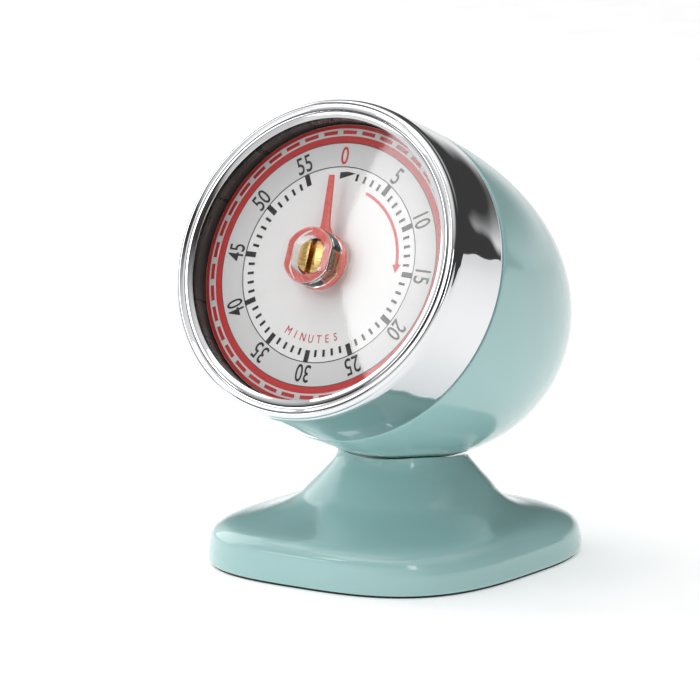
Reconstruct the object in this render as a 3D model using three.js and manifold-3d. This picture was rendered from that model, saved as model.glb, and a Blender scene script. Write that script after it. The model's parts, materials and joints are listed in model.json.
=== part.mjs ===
// Wind-up kitchen timer: a clockwork movement in a tilted round head, on a flared stand.
// Millimetres, +Z up. The dial faces -Y and up. The origin is the middle of the foot's underside.
import * as THREE from 'three';
import { mergeVertices } from 'three/addons/utils/BufferGeometryUtils.js';
import Module from 'manifold-3d';

const wasm = await Module();
wasm.setup();

// ---------------------------------------------------------------- driving dimensions

const GAP = 0.3;
const ROUND_SEGMENTS = 40;
const TURN = Math.PI * 2;
const degrees = THREE.MathUtils.degToRad;

// Head: its own frame has +Z out through the dial, +Y up the dial and its origin in the seam plane.
const HEAD_TILT = degrees(23.7);
const HEAD_CENTRE = new THREE.Vector3(0, -13.1, 61.3);
const SEAM_RADIUS = 34.5;
const SHELL_LENGTH = 57.2;
const SHELL_POWER = 2.43;
const SHELL_WALL = 1.3;

const BEZEL_DEPTH = 18.4;
const BEZEL_BORE = 33.0;
const LIP_RADIUS = 30.0;
const LIP_BACK = 17.2;
const LIP_FRONT = 17.9;
const LENS_BACK = 15.8;
const LENS_THICKNESS = 1.1;
const LENS_RADIUS = 32.6;
const BOSS_TIP = 20.9;
const BOSS_RADIUS = 6.05;
const BOSS_FLAT = 5.5;
const BOSS_BORE_RADIUS = 4.2;
const BOSS_BORE_FLAT = 3.6;

const DIAL_FACE = 12.2;
const DIAL_RADIUS = 30.0;
const DIAL_THICKNESS = 0.6;
const DRUM_RADIUS = 31.3;
const DRUM_BORE = 30.4;
const DRUM_FRONT = 15.3;
const WEB_BACK = 9.5;
const WEB_THICKNESS = 0.8;

const POINTER_ANGLE = degrees(7.3);
const POINTER_REACH = 18.4;
const POINTER_BACK = 14.9;
const POINTER_THICKNESS = 0.5;

// Movement, between two round plates.
const PLATE_RADIUS = 25;
const PLATE_THICKNESS = 1;
const FRONT_PLATE = 8.2;
const BACK_PLATE = -9;
const ARBOR_RADIUS = 2.5;
const PIVOT_RADIUS = 0.6;
const WHEEL_THICKNESS = 0.8;

// Stand: rounded-square sections, each a superellipse of this power.
const STAND_HALF_X = 34;
const STAND_HALF_Y = 37.2;
const STAND_POWER = 3;
const STAND_EDGE = 0.5;
const STAND_WALL = 2.2;
const NECK_HALF = 12;
const NECK_CENTRE_Y = 2.2;
const NECK_TOP = 26;
const NECK_WEB = 17.3;

// ---------------------------------------------------------------- materials

function finish(colour, roughness, metalness) {
  return () => new THREE.MeshStandardMaterial({ color: colour, roughness, metalness });
}

const mintPaint = finish(0x9cc0c0, 0.2, 0.1);
const chrome = finish(0xd8dadb, 0.06, 1);
const brass = finish(0xc9a45c, 0.3, 1);
const steel = finish(0xa9adb0, 0.35, 1);
const springSteel = finish(0x6f7a88, 0.3, 1);
const blackRubber = finish(0x1c1b1a, 0.85, 0);
const blackPlastic = finish(0x26241f, 0.5, 0);
const blackPaint = finish(0x2a2620, 0.45, 0.3);
const dialWhite = finish(0xf2f0ee, 0.5, 0);
const pointerRed = finish(0xd97a70, 0.4, 0);
const clearPlastic = () => new THREE.MeshStandardMaterial({
  color: 0xf4f6f6, roughness: 0.05, metalness: 0, transparent: true, opacity: 0.35,
});

// ---------------------------------------------------------------- solids

// A closed three.js geometry as a manifold solid.
function solidOf(geometry) {
  const plain = geometry.clone();
  plain.deleteAttribute('normal');
  plain.deleteAttribute('uv');
  const merged = mergeVertices(plain, 1e-4);
  const whole = [];
  const index = merged.index.array;
  for (let i = 0; i < index.length; i += 3) {
    const [a, b, c] = [index[i], index[i + 1], index[i + 2]];
    if (a !== b && b !== c && c !== a) {
      whole.push(a, b, c);
    }
  }
  return new wasm.Manifold(new wasm.Mesh({
    numProp: 3,
    vertProperties: new Float32Array(merged.attributes.position.array),
    triVerts: new Uint32Array(whole),
  }));
}

// A manifold solid back as a three.js geometry.
function geometryOf(solid) {
  const mesh = solid.getMesh();
  const geometry = new THREE.BufferGeometry();
  geometry.setAttribute('position', new THREE.BufferAttribute(mesh.vertProperties, 3));
  geometry.setIndex(new THREE.BufferAttribute(mesh.triVerts, 1));
  geometry.computeVertexNormals();
  return geometry;
}

// Joins all the geometries in add and cuts all those in remove.
function built(add, remove = []) {
  let solid = solidOf(add[0]);
  for (const piece of add.slice(1)) {
    solid = solid.add(solidOf(piece));
  }
  for (const tool of remove) {
    solid = solid.subtract(solidOf(tool));
  }
  return geometryOf(solid);
}

// ---------------------------------------------------------------- shapes

// A profile of [radius, z] pairs, listed from low z to high z on its outer side, turned about Z.
function turned(profile, segments = ROUND_SEGMENTS) {
  const points = profile.map(([radius, z]) => new THREE.Vector2(radius, z));
  const geometry = new THREE.LatheGeometry(points, segments);
  return geometry.rotateX(Math.PI / 2);
}

// A closed ring profile, turned about Z.
function ring(profile, segments = ROUND_SEGMENTS) {
  return turned([...profile, profile[0]], segments);
}

// A washer shape between two radii and two heights.
function washer(inner, outer, low, high, segments = 28) {
  return ring([[inner, low], [outer, low], [outer, high], [inner, high]], segments);
}

// A solid round bar.
function bar(radius, low, high, segments = 12) {
  return turned([[0, low], [radius, low], [radius, high], [0, high]], segments);
}

// A flat piece cut to an outline, from low to high along Z.
function plate(outline, low, high) {
  const geometry = new THREE.ExtrudeGeometry(outline, {
    depth: high - low, bevelEnabled: false, curveSegments: 6, steps: 1,
  });
  return geometry.translate(0, 0, low);
}

function outlineOf(points) {
  return new THREE.Shape(points.map(([x, y]) => new THREE.Vector2(x, y)));
}

function circlePoints(radius, count, x = 0, y = 0) {
  return Array.from({ length: count }, (_, i) => {
    const angle = TURN * i / count;
    return [x + radius * Math.cos(angle), y + radius * Math.sin(angle)];
  });
}

function circleHole(radius, count, x = 0, y = 0) {
  return new THREE.Path(circlePoints(radius, count, x, y).map(([u, v]) => new THREE.Vector2(u, v)));
}

function place(geometry, x, y, z = 0) {
  return geometry.translate(x, y, z);
}

// A circle with two flats at x = -flat and x = +flat.
function doubleFlatPoints(radius, flat, stepsPerSide = 8) {
  const corner = Math.acos(flat / radius);
  const points = [];
  for (const side of [0, Math.PI]) {
    for (let i = 0; i <= stepsPerSide; i += 1) {
      const angle = side + corner + (Math.PI - 2 * corner) * i / stepsPerSide;
      points.push([radius * Math.cos(angle), radius * Math.sin(angle)]);
    }
  }
  return points;
}

// The outline of a bar that tapers from one point to another, with square ends.
function strapPoints([x1, y1], [x2, y2], startWidth, endWidth) {
  const run = new THREE.Vector2(x2 - x1, y2 - y1).normalize();
  const side = [-run.y, run.x];
  return [
    [x1 + side[0] * startWidth / 2, y1 + side[1] * startWidth / 2],
    [x1 - side[0] * startWidth / 2, y1 - side[1] * startWidth / 2],
    [x2 - side[0] * endWidth / 2, y2 - side[1] * endWidth / 2],
    [x2 + side[0] * endWidth / 2, y2 + side[1] * endWidth / 2],
  ];
}

function strap(from, to, startWidth, endWidth, low, high) {
  return plate(outlineOf(strapPoints(from, to, startWidth, endWidth)), low, high);
}

// ---------------------------------------------------------------- assembly

const timer = new THREE.Group();
const head = new THREE.Group();
head.position.copy(HEAD_CENTRE);
head.rotation.x = Math.PI / 2 - HEAD_TILT;
timer.add(head);

function addTo(group, name, geometry, material) {
  const mesh = new THREE.Mesh(geometry, material());
  mesh.name = name;
  group.add(mesh);
  return mesh;
}

// ---------------------------------------------------------------- head shell

// Radius of the shell's outside at a depth behind the seam.
function shellRadius(depth, length = SHELL_LENGTH, radius = SEAM_RADIUS) {
  return radius * (1 - (depth / length) ** SHELL_POWER) ** (1 / SHELL_POWER);
}

// The shell's outline as [radius, z], from the tail forwards to a front plane.
function shellProfile(offset, frontDepth, steps) {
  const length = SHELL_LENGTH + offset;
  const profile = [[0, -length]];
  for (let i = 1; i < steps; i += 1) {
    const share = Math.cos(Math.PI / 2 * i / steps) ** 0.75;
    profile.push([shellRadius(length * share, length, SEAM_RADIUS + offset), -length * share]);
  }
  profile.push([SEAM_RADIUS + offset, -frontDepth]);
  return profile;
}

const SHELL_STEPS = 10;
const SHELL_INNER_STEPS = 6;
const SHELL_FRONT = 0.35;
const SHELL_LIP_BACK = 4.2;
const SHELL_LIP_FRONT = 3.2;
const SHELL_LIP_RADIUS = 29.5;

function shellOutside(offset) {
  return turned([...shellProfile(offset, SHELL_FRONT, SHELL_STEPS), [0, -SHELL_FRONT]]);
}

// The neck's bolt stands upright, so its hole is placed in the head's own frame from the outside.
function uprightInHead(geometry) {
  const toHead = new THREE.Matrix4();
  head.updateMatrixWorld();
  toHead.copy(head.matrixWorld).invert();
  return geometry.applyMatrix4(toHead);
}

const BOLT_RADIUS = 2;
const BOLT_HOLE = 2.4;
const WASHER_LOW = 23.1;

function headShell() {
  const outside = shellOutside(0);
  const inner = shellProfile(-SHELL_WALL, SHELL_LIP_BACK, SHELL_INNER_STEPS);
  const inside = turned([...inner, [0, -SHELL_LIP_BACK]]);
  const mouth = bar(SEAM_RADIUS - SHELL_WALL, -SHELL_LIP_FRONT, 1, ROUND_SEGMENTS);
  const lipBore = bar(SHELL_LIP_RADIUS, -SHELL_LIP_BACK - 1, 1, ROUND_SEGMENTS);
  const boltHole = uprightInHead(place(bar(BOLT_HOLE, 15, 30), 0, NECK_CENTRE_Y));
  return built([outside], [inside, mouth, lipBore, boltHole]);
}

addTo(head, 'head_shell', headShell(), mintPaint);

// ---------------------------------------------------------------- drum and dial

const DRUM_FLANGE_RADIUS = 32.8;
const DRUM_BACK = -2.9;
const DIAL_HOLE = 4.2;

const MOVEMENT_SCREW_CIRCLE = 18.5;
const MOVEMENT_SCREW_PLACES = [50, 150, 320].map((angle) => [
  MOVEMENT_SCREW_CIRCLE * Math.cos(degrees(angle)),
  MOVEMENT_SCREW_CIRCLE * Math.sin(degrees(angle)),
]);
const SMALL_HOLE = 1.2;

function dialDrum() {
  const wall = ring([
    [DRUM_BORE, DRUM_BACK],
    [DRUM_FLANGE_RADIUS, DRUM_BACK],
    [DRUM_FLANGE_RADIUS, DRUM_BACK + 1],
    [DRUM_RADIUS, DRUM_BACK + 1],
    [DRUM_RADIUS, DRUM_FRONT],
    [DRUM_BORE, DRUM_FRONT],
    [DRUM_BORE, WEB_BACK + WEB_THICKNESS],
    [DIAL_HOLE, WEB_BACK + WEB_THICKNESS],
    [DIAL_HOLE, WEB_BACK],
    [DRUM_BORE, WEB_BACK],
  ]);
  const holes = MOVEMENT_SCREW_PLACES.map(([x, y]) => place(bar(SMALL_HOLE, 9, 11, 8), x, y));
  return built([wall], holes);
}

addTo(head, 'dial_drum', dialDrum(), blackPaint);
addTo(
  head,
  'dial_plate',
  washer(DIAL_HOLE, DIAL_RADIUS, DIAL_FACE - DIAL_THICKNESS, DIAL_FACE, ROUND_SEGMENTS),
  dialWhite,
);

// ---------------------------------------------------------------- bezel, lens and pointer

function chromeBezel() {
  return ring([
    [BEZEL_BORE, SHELL_FRONT],
    [SEAM_RADIUS, SHELL_FRONT],
    [SEAM_RADIUS + 0.1, BEZEL_DEPTH / 4],
    [SEAM_RADIUS, BEZEL_DEPTH * 0.7],
    [SEAM_RADIUS - 0.1, BEZEL_DEPTH - 2.4],
    [SEAM_RADIUS - 0.6, BEZEL_DEPTH - 1],
    [BEZEL_BORE, BEZEL_DEPTH - 0.2],
    [BEZEL_BORE - 0.7, BEZEL_DEPTH],
    [LIP_RADIUS + 1.3, BEZEL_DEPTH - 0.1],
    [LIP_RADIUS, LIP_FRONT],
    [LIP_RADIUS + 0.1, LIP_BACK + 0.3],
    [BEZEL_BORE, LIP_BACK],
  ]);
}

addTo(head, 'chrome_bezel', chromeBezel(), chrome);

function clearLens() {
  const disc = bar(LENS_RADIUS, LENS_BACK, LENS_BACK + LENS_THICKNESS, ROUND_SEGMENTS);
  const boss = plate(outlineOf(doubleFlatPoints(BOSS_RADIUS, BOSS_FLAT)), LENS_BACK, BOSS_TIP);
  const bore = plate(
    outlineOf(doubleFlatPoints(BOSS_BORE_RADIUS, BOSS_BORE_FLAT, 6)),
    LENS_BACK - 1,
    BOSS_TIP + 1,
  );
  return built([disc, boss], [bore]);
}

addTo(head, 'lens', clearLens(), clearPlastic);

const LENS_RING_BORE = 31.8;
const LENS_RING_BACK = 14.6;

addTo(
  head,
  'lens_ring',
  washer(LENS_RING_BORE, LENS_RADIUS, LENS_RING_BACK, LENS_BACK - GAP, ROUND_SEGMENTS),
  blackPlastic,
);

const ARBOR_TIP = 19.65;
const ARBOR_HEAD_RADIUS = 3.45;
const ARBOR_HEAD_FLAT = 3.0;
const ARBOR_HEAD_BACK = 11.2;
const SLOT_WIDTH = 1.3;
const SLOT_DEPTH = 3;

const POINTER_HUB_RADIUS = 6.2;
const POINTER_ROOT = { start: 4, width: 2.3 };
const POINTER_END_WIDTH = 1.25;

function pointer() {
  const back = POINTER_BACK;
  const front = POINTER_BACK + POINTER_THICKNESS;
  const collar = bar(POINTER_HUB_RADIUS, back, front, 32);
  const root = [0, POINTER_ROOT.start];
  const tip = [0, POINTER_REACH];
  const hand = strap(root, tip, POINTER_ROOT.width, POINTER_END_WIDTH, back, front);
  hand.rotateZ(POINTER_ANGLE);
  const bore = plate(
    outlineOf(doubleFlatPoints(ARBOR_HEAD_RADIUS + GAP, ARBOR_HEAD_FLAT + GAP, 6)),
    back - 1,
    front + 1,
  );
  return built([collar, hand], [bore]);
}

addTo(head, 'pointer', pointer(), pointerRed);

function mainArbor() {
  const shaft = turned([
    [0, BACK_PLATE + 0.1],
    [1.2, BACK_PLATE + 0.1],
    [1.2, BACK_PLATE + PLATE_THICKNESS + GAP],
    [ARBOR_RADIUS, BACK_PLATE + PLATE_THICKNESS + GAP],
    [ARBOR_RADIUS, ARBOR_HEAD_BACK + 1],
    [0, ARBOR_HEAD_BACK + 1],
  ], 16);
  const end = plate(
    outlineOf(doubleFlatPoints(ARBOR_HEAD_RADIUS, ARBOR_HEAD_FLAT, 6)),
    ARBOR_HEAD_BACK,
    ARBOR_TIP,
  );
  const slot = new THREE.BoxGeometry(SLOT_WIDTH, 10, 2 * SLOT_DEPTH);
  return built([shaft, end], [place(slot, 0, 0, ARBOR_TIP)]);
}

addTo(head, 'main_arbor', mainArbor(), brass);

// ---------------------------------------------------------------- movement frame

// Where each arbor stands between the plates, as [x, y].
function polar(radius, angle) {
  return [radius * Math.cos(degrees(angle)), radius * Math.sin(degrees(angle))];
}

const SECOND_PLACE = polar(13.6, 215);
const THIRD_PLACE = polar(14, 167.14);
const ESCAPE_PLACE = polar(17.8, 133.89);
const STRIKE_PLACE = polar(13.6, 340);
const PALLET_PLACE = [-3.5, 17.5];
const HAMMER_PLACE = [16.5, -13.5];
const STOP_PLACE = [9, 13.5];
const PIVOT_PLACES = [
  SECOND_PLACE, THIRD_PLACE, ESCAPE_PLACE, STRIKE_PLACE, PALLET_PLACE, HAMMER_PLACE, STOP_PLACE,
];
const PILLAR_PLACES = [10, 78, 185.5, 290].map((angle) => polar(23, angle));
const PILLAR_RADIUS = 1.5;
const PIVOT_HOLE = PIVOT_RADIUS + GAP;
const BRACKET_SCREW_PLACES = [[-10.8, 0], [10.8, 0]];

function movementPlate(low, centreHole, extraHoles) {
  const outline = outlineOf(circlePoints(PLATE_RADIUS, 32));
  outline.holes.push(circleHole(centreHole, 12));
  for (const [x, y] of PIVOT_PLACES) {
    outline.holes.push(circleHole(PIVOT_HOLE, 6, x, y));
  }
  for (const [x, y] of extraHoles) {
    outline.holes.push(circleHole(SMALL_HOLE, 6, x, y));
  }
  return plate(outline, low, low + PLATE_THICKNESS);
}

addTo(
  head,
  'front_plate',
  movementPlate(FRONT_PLATE, ARBOR_RADIUS + GAP, MOVEMENT_SCREW_PLACES),
  brass,
);
addTo(
  head,
  'back_plate',
  movementPlate(BACK_PLATE, 1.2 + GAP, [...PILLAR_PLACES, ...BRACKET_SCREW_PLACES]),
  brass,
);

const PILLAR_LOW = BACK_PLATE + PLATE_THICKNESS + 0.05;
const PILLAR_HIGH = FRONT_PLATE - 0.05;

function pillar([x, y]) {
  const post = bar(PILLAR_RADIUS, PILLAR_LOW, PILLAR_HIGH, 10);
  const stud = bar(0.8, BACK_PLATE - 2, PILLAR_LOW + 1, 8);
  return place(built([post, stud]), x, y);
}

function pillarNut([x, y]) {
  return place(washer(1.1, 2, BACK_PLATE - 1.6, BACK_PLATE - 0.1, 6), x, y);
}

PILLAR_PLACES.forEach((spot, i) => {
  addTo(head, `pillar_${i + 1}`, pillar(spot), steel);
  addTo(head, `pillar_nut_${i + 1}`, pillarNut(spot), steel);
});

const MOVEMENT_SCREW_SEAT = WEB_BACK + WEB_THICKNESS + 0.1;

function movementScrew([x, y]) {
  return place(turned([
    [0, FRONT_PLATE - 1],
    [0.9, FRONT_PLATE - 1],
    [0.9, MOVEMENT_SCREW_SEAT],
    [1.8, MOVEMENT_SCREW_SEAT],
    [1.6, MOVEMENT_SCREW_SEAT + 0.9],
    [0, MOVEMENT_SCREW_SEAT + 0.9],
  ], 10), x, y);
}

MOVEMENT_SCREW_PLACES.forEach((spot, i) => {
  addTo(head, `movement_screw_${i + 1}`, movementScrew(spot), steel);
});

// ---------------------------------------------------------------- gear train

const GREAT_TEETH = 60;
const SECOND_TEETH = 56;
const THIRD_TEETH = 48;
const PINION_TEETH = 8;
const ESCAPE_TEETH = 20;
const COARSE_MODULE = 0.4;
const FINE_MODULE = 0.35;

const GREAT_LEVEL = -6.6;
const SECOND_LEVEL = -3.6;
const THIRD_LEVEL = -0.7;
const ESCAPE_LEVEL = 2.4;
const BALANCE_LEVEL = 5;
const PINION_OVERHANG = 0.5;

// Tooth outline of a spur wheel, with one tooth centred on the angle given.
function gearPoints(teeth, module, toothAngle) {
  const pitchRadius = teeth * module / 2;
  const root = pitchRadius - 1.1 * module;
  const tip = pitchRadius + 0.8 * module;
  const step = TURN / teeth;
  const flank = [[root, -0.24], [tip, -0.09], [tip, 0.09], [root, 0.24]];
  const points = [];
  for (let i = 0; i < teeth; i += 1) {
    for (const [radius, share] of flank) {
      const angle = toothAngle + step * (i + share);
      points.push([radius * Math.cos(angle), radius * Math.sin(angle)]);
    }
  }
  return points;
}

function bearing([x1, y1], [x2, y2]) {
  return Math.atan2(y2 - y1, x2 - x1);
}

// A brass wheel on its arbor, with one tooth towards the pinion that it drives.
function wheel(teeth, module, bore, level, toothAngle) {
  const outline = outlineOf(gearPoints(teeth, module, toothAngle));
  outline.holes.push(circleHole(bore, 12));
  return plate(outline, level, level + WHEEL_THICKNESS);
}

// An arbor with its pinion cut in one piece, and a gap between teeth towards the driving wheel.
function pinionArbor(module, level, drivenFrom) {
  const toothAngle = drivenFrom + Math.PI / PINION_TEETH;
  const leaves = plate(
    outlineOf(gearPoints(PINION_TEETH, module, toothAngle)),
    level - PINION_OVERHANG,
    level + WHEEL_THICKNESS + PINION_OVERHANG,
  );
  const staff = bar(PIVOT_RADIUS, BACK_PLATE + 0.2, FRONT_PLATE + 0.8, 8);
  return built([staff, leaves]);
}

const AXIS = [0, 0];
const WHEEL_BORE = PIVOT_RADIUS + GAP;

addTo(
  head,
  'great_wheel',
  wheel(GREAT_TEETH, COARSE_MODULE, ARBOR_RADIUS + GAP, GREAT_LEVEL, bearing(AXIS, SECOND_PLACE)),
  brass,
);

// Each entry: name, place, the module and level of its pinion, the place that drives it,
// and its wheel's teeth, module and level with the place that the wheel drives.
const TRAIN = [
  {
    name: 'second', at: SECOND_PLACE, from: AXIS,
    pinionModule: COARSE_MODULE, pinionLevel: GREAT_LEVEL,
    teeth: SECOND_TEETH, module: FINE_MODULE, level: SECOND_LEVEL, to: THIRD_PLACE,
  },
  {
    name: 'third', at: THIRD_PLACE, from: SECOND_PLACE,
    pinionModule: FINE_MODULE, pinionLevel: SECOND_LEVEL,
    teeth: THIRD_TEETH, module: FINE_MODULE, level: THIRD_LEVEL, to: ESCAPE_PLACE,
  },
];

for (const stage of TRAIN) {
  const [x, y] = stage.at;
  const arbor = pinionArbor(stage.pinionModule, stage.pinionLevel, bearing(stage.at, stage.from));
  const gear = wheel(stage.teeth, stage.module, WHEEL_BORE, stage.level, bearing(stage.at, stage.to));
  addTo(head, `${stage.name}_arbor`, place(arbor, x, y), steel);
  addTo(head, `${stage.name}_wheel`, place(gear, x, y), brass);
}

// A wheel of pointed teeth, as in an escapement or a striker.
function starWheel(teeth, tip, root, lean, level) {
  const step = TURN / teeth;
  const points = [];
  for (let i = 0; i < teeth; i += 1) {
    for (const [radius, share] of [[root, 0], [tip, lean], [tip, lean + 0.08], [root, 0.75]]) {
      points.push([radius * Math.cos(step * (i + share)), radius * Math.sin(step * (i + share))]);
    }
  }
  const outline = outlineOf(points);
  outline.holes.push(circleHole(WHEEL_BORE, 12));
  return plate(outline, level, level + WHEEL_THICKNESS);
}

const ESCAPE_RADIUS = 6.5;
const STRIKE_TEETH = 10;
const STRIKE_RADIUS = 5;

const escapeArbor = pinionArbor(FINE_MODULE, THIRD_LEVEL, bearing(ESCAPE_PLACE, THIRD_PLACE));
addTo(head, 'escape_arbor', place(escapeArbor, ...ESCAPE_PLACE), steel);
const escapeWheel = starWheel(ESCAPE_TEETH, ESCAPE_RADIUS, 5, 0.55, ESCAPE_LEVEL);
addTo(head, 'escape_wheel', place(escapeWheel, ...ESCAPE_PLACE), brass);

// The great wheel's teeth at the striker's pinion: a tooth centre nearest to that bearing.
function nearestToothAngle(teeth, toothAngle, towards) {
  const step = TURN / teeth;
  return toothAngle + step * Math.round((towards - toothAngle) / step);
}

function strikeArbor() {
  const towards = bearing(AXIS, STRIKE_PLACE);
  const tooth = nearestToothAngle(GREAT_TEETH, bearing(AXIS, SECOND_PLACE), towards);
  const lag = (tooth - towards) * GREAT_TEETH / PINION_TEETH;
  const arbor = pinionArbor(COARSE_MODULE, GREAT_LEVEL, bearing(STRIKE_PLACE, AXIS) - lag);
  return place(arbor, ...STRIKE_PLACE);
}

addTo(head, 'strike_arbor', strikeArbor(), steel);
const strikeWheel = starWheel(STRIKE_TEETH, STRIKE_RADIUS, 3.6, 0.4, SECOND_LEVEL);
addTo(head, 'strike_wheel', place(strikeWheel, ...STRIKE_PLACE), brass);

// ---------------------------------------------------------------- mainspring, cam and stop lever

const SPRING_TURNS = 5;
const SPRING_STEPS = 13;
const SPRING_INNER = 3.4;
const SPRING_PITCH = 1.45;
const SPRING_STRIP = 0.4;

function mainspring() {
  const count = SPRING_TURNS * SPRING_STEPS;
  const inner = [];
  const outer = [];
  for (let i = 0; i <= count; i += 1) {
    const angle = TURN * i / SPRING_STEPS;
    const radius = SPRING_INNER + SPRING_PITCH * i / SPRING_STEPS;
    inner.push([radius * Math.cos(angle), radius * Math.sin(angle)]);
    outer.push([(radius + SPRING_STRIP) * Math.cos(angle), (radius + SPRING_STRIP) * Math.sin(angle)]);
  }
  return plate(outlineOf([...outer, ...inner.reverse()]), 1.2, 4.6);
}

addTo(head, 'mainspring', mainspring(), springSteel);

const CAM_LEVEL = 6.2;
const CAM_RADIUS = 5.5;
const CAM_NOTCH = 4.4;
const BEAK_TIP = [CAM_RADIUS + GAP, 0];
const BEAK_ROOT = [8.4, 0];

function stopCam() {
  const points = [];
  const count = 24;
  for (let i = 0; i < count; i += 1) {
    const turn = TURN * i / count;
    const radius = i < 2 || i > count - 2 ? CAM_NOTCH : CAM_RADIUS;
    points.push([radius * Math.cos(turn), radius * Math.sin(turn)]);
  }
  const outline = outlineOf(points);
  outline.holes.push(circleHole(ARBOR_RADIUS + GAP, 12));
  return plate(outline, CAM_LEVEL, CAM_LEVEL + WHEEL_THICKNESS);
}

addTo(head, 'stop_cam', stopCam(), steel);

// The lever lies beside the cam, and its beak points at the notch.
function stopLever() {
  const [px, py] = STOP_PLACE;
  const staff = bar(PIVOT_RADIUS, BACK_PLATE + 0.2, FRONT_PLATE + 0.8, 8);
  const hub = bar(1.6, CAM_LEVEL - 0.4, CAM_LEVEL + 1, 12);
  const root = [BEAK_ROOT[0] - px, BEAK_ROOT[1] - 0.6 - py];
  const arm = strap([0, 0], root, 2.4, 1.6, CAM_LEVEL, CAM_LEVEL + WHEEL_THICKNESS);
  const beak = strap(
    [BEAK_ROOT[0] - px, BEAK_ROOT[1] - py],
    [BEAK_TIP[0] - px, BEAK_TIP[1] - py],
    1.2,
    0.9,
    CAM_LEVEL,
    CAM_LEVEL + WHEEL_THICKNESS,
  );
  return place(built([staff, hub, arm, beak]), px, py);
}

addTo(head, 'stop_lever', stopLever(), steel);

// ---------------------------------------------------------------- balance and hammer

const PALLET_CLEAR = 7.5;
const PALLET_SPREAD = 38;

function palletAnchor() {
  const [dx, dy] = [ESCAPE_PLACE[0] - PALLET_PLACE[0], ESCAPE_PLACE[1] - PALLET_PLACE[1]];
  const back = THREE.MathUtils.radToDeg(bearing(ESCAPE_PLACE, PALLET_PLACE));
  const pieces = [
    bar(PIVOT_RADIUS, BACK_PLATE + 0.2, FRONT_PLATE + 0.8, 8),
    bar(1.6, 3.4, 4.4, 12),
  ];
  for (const side of [-1, 1]) {
    const [x, y] = polar(PALLET_CLEAR, back + side * PALLET_SPREAD);
    const pin = [dx + x, dy + y];
    pieces.push(strap([0, 0], pin, 2, 1.2, 3.5, 4.3));
    pieces.push(place(bar(0.4, ESCAPE_LEVEL - 0.2, 4, 6), ...pin));
  }
  return place(built(pieces), ...PALLET_PLACE);
}

addTo(head, 'pallet_anchor', palletAnchor(), steel);

const BALANCE_RADIUS = 5.6;

function balanceWheel() {
  const rim = washer(BALANCE_RADIUS - 1.1, BALANCE_RADIUS, BALANCE_LEVEL, BALANCE_LEVEL + 1, 20);
  const spoke = new THREE.BoxGeometry(2 * BALANCE_RADIUS - 1, 1.2, 0.6);
  const hub = bar(1.5, BALANCE_LEVEL, BALANCE_LEVEL + 1, 12);
  const bore = bar(WHEEL_BORE, BALANCE_LEVEL - 1, BALANCE_LEVEL + 2, 12);
  const wheelSolid = built([rim, place(spoke, 0, 0, BALANCE_LEVEL + 0.5), hub], [bore]);
  return place(wheelSolid, ...PALLET_PLACE);
}

addTo(head, 'balance_wheel', balanceWheel(), brass);

const HAMMER_SPOT = [5, -18.4];
const HAMMER_ARM_LEVEL = -13;

function hammerArm() {
  const [px, py] = HAMMER_PLACE;
  const towards = THREE.MathUtils.radToDeg(bearing(HAMMER_PLACE, STRIKE_PLACE));
  const reach = Math.hypot(px - STRIKE_PLACE[0], py - STRIKE_PLACE[1]) - STRIKE_RADIUS - 0.6;
  const staff = bar(PIVOT_RADIUS, HAMMER_ARM_LEVEL - 0.4, FRONT_PLATE + 0.8, 8);
  const hub = bar(1.4, HAMMER_ARM_LEVEL, HAMMER_ARM_LEVEL + 1.4, 12);
  const arm = strap(
    [0, 0], [HAMMER_SPOT[0] - px, HAMMER_SPOT[1] - py], 2, 2.4, HAMMER_ARM_LEVEL, HAMMER_ARM_LEVEL + 1,
  );
  const tail = strap([0, 0], polar(reach, towards), 2, 1, SECOND_LEVEL, SECOND_LEVEL + 0.8);
  return place(built([staff, hub, arm, tail]), px, py);
}

addTo(head, 'hammer_arm', hammerArm(), steel);

function hammerHead() {
  const low = HAMMER_ARM_LEVEL - 5;
  const high = HAMMER_ARM_LEVEL - GAP;
  const profile = [[0, low], [1.3, low], [1.8, low + 0.5], [1.8, high - 0.5], [1.3, high], [0, high]];
  return place(turned(profile, 12), ...HAMMER_SPOT);
}

addTo(head, 'hammer_head', hammerHead(), brass);

// ---------------------------------------------------------------- bell

const BRACKET_TOP = -13.4;
const BRACKET_FOOT = BACK_PLATE - 0.1;
const BRACKET_HALF_WIDTH = 3;
const BELL_RIM = -15.5;
const BELL_RADIUS = 22.9;
const BELL_CROWN = -25.5;
const BELL_WALL = 0.9;

function bellBracket() {
  const outline = outlineOf([
    [-13, BRACKET_FOOT], [-13, BRACKET_FOOT - 0.8], [-8.3, BRACKET_FOOT - 0.8], [-7.4, BRACKET_TOP],
    [7.4, BRACKET_TOP], [8.3, BRACKET_FOOT - 0.8], [13, BRACKET_FOOT - 0.8], [13, BRACKET_FOOT],
    [7.6, BRACKET_FOOT], [6.7, BRACKET_TOP + 0.8], [-6.7, BRACKET_TOP + 0.8], [-7.6, BRACKET_FOOT],
  ]);
  const strip = plate(outline, -BRACKET_HALF_WIDTH, BRACKET_HALF_WIDTH);
  strip.rotateX(Math.PI / 2);
  const holes = BRACKET_SCREW_PLACES.map(([x, y]) => place(bar(SMALL_HOLE, -12, -8, 8), x, y));
  return built([strip], [...holes, bar(SMALL_HOLE, -15, -12, 8)]);
}

addTo(head, 'bell_bracket', bellBracket(), steel);

function bracketScrew([x, y]) {
  const seat = BRACKET_FOOT - 0.9;
  return place(turned([
    [0, seat - 1.1], [1.6, seat - 1.1], [1.8, seat], [0.8, seat], [0.8, -8.3], [0, -8.3],
  ], 10), x, y);
}

BRACKET_SCREW_PLACES.forEach((spot, i) => {
  addTo(head, `bracket_screw_${i + 1}`, bracketScrew(spot), steel);
});

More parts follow.
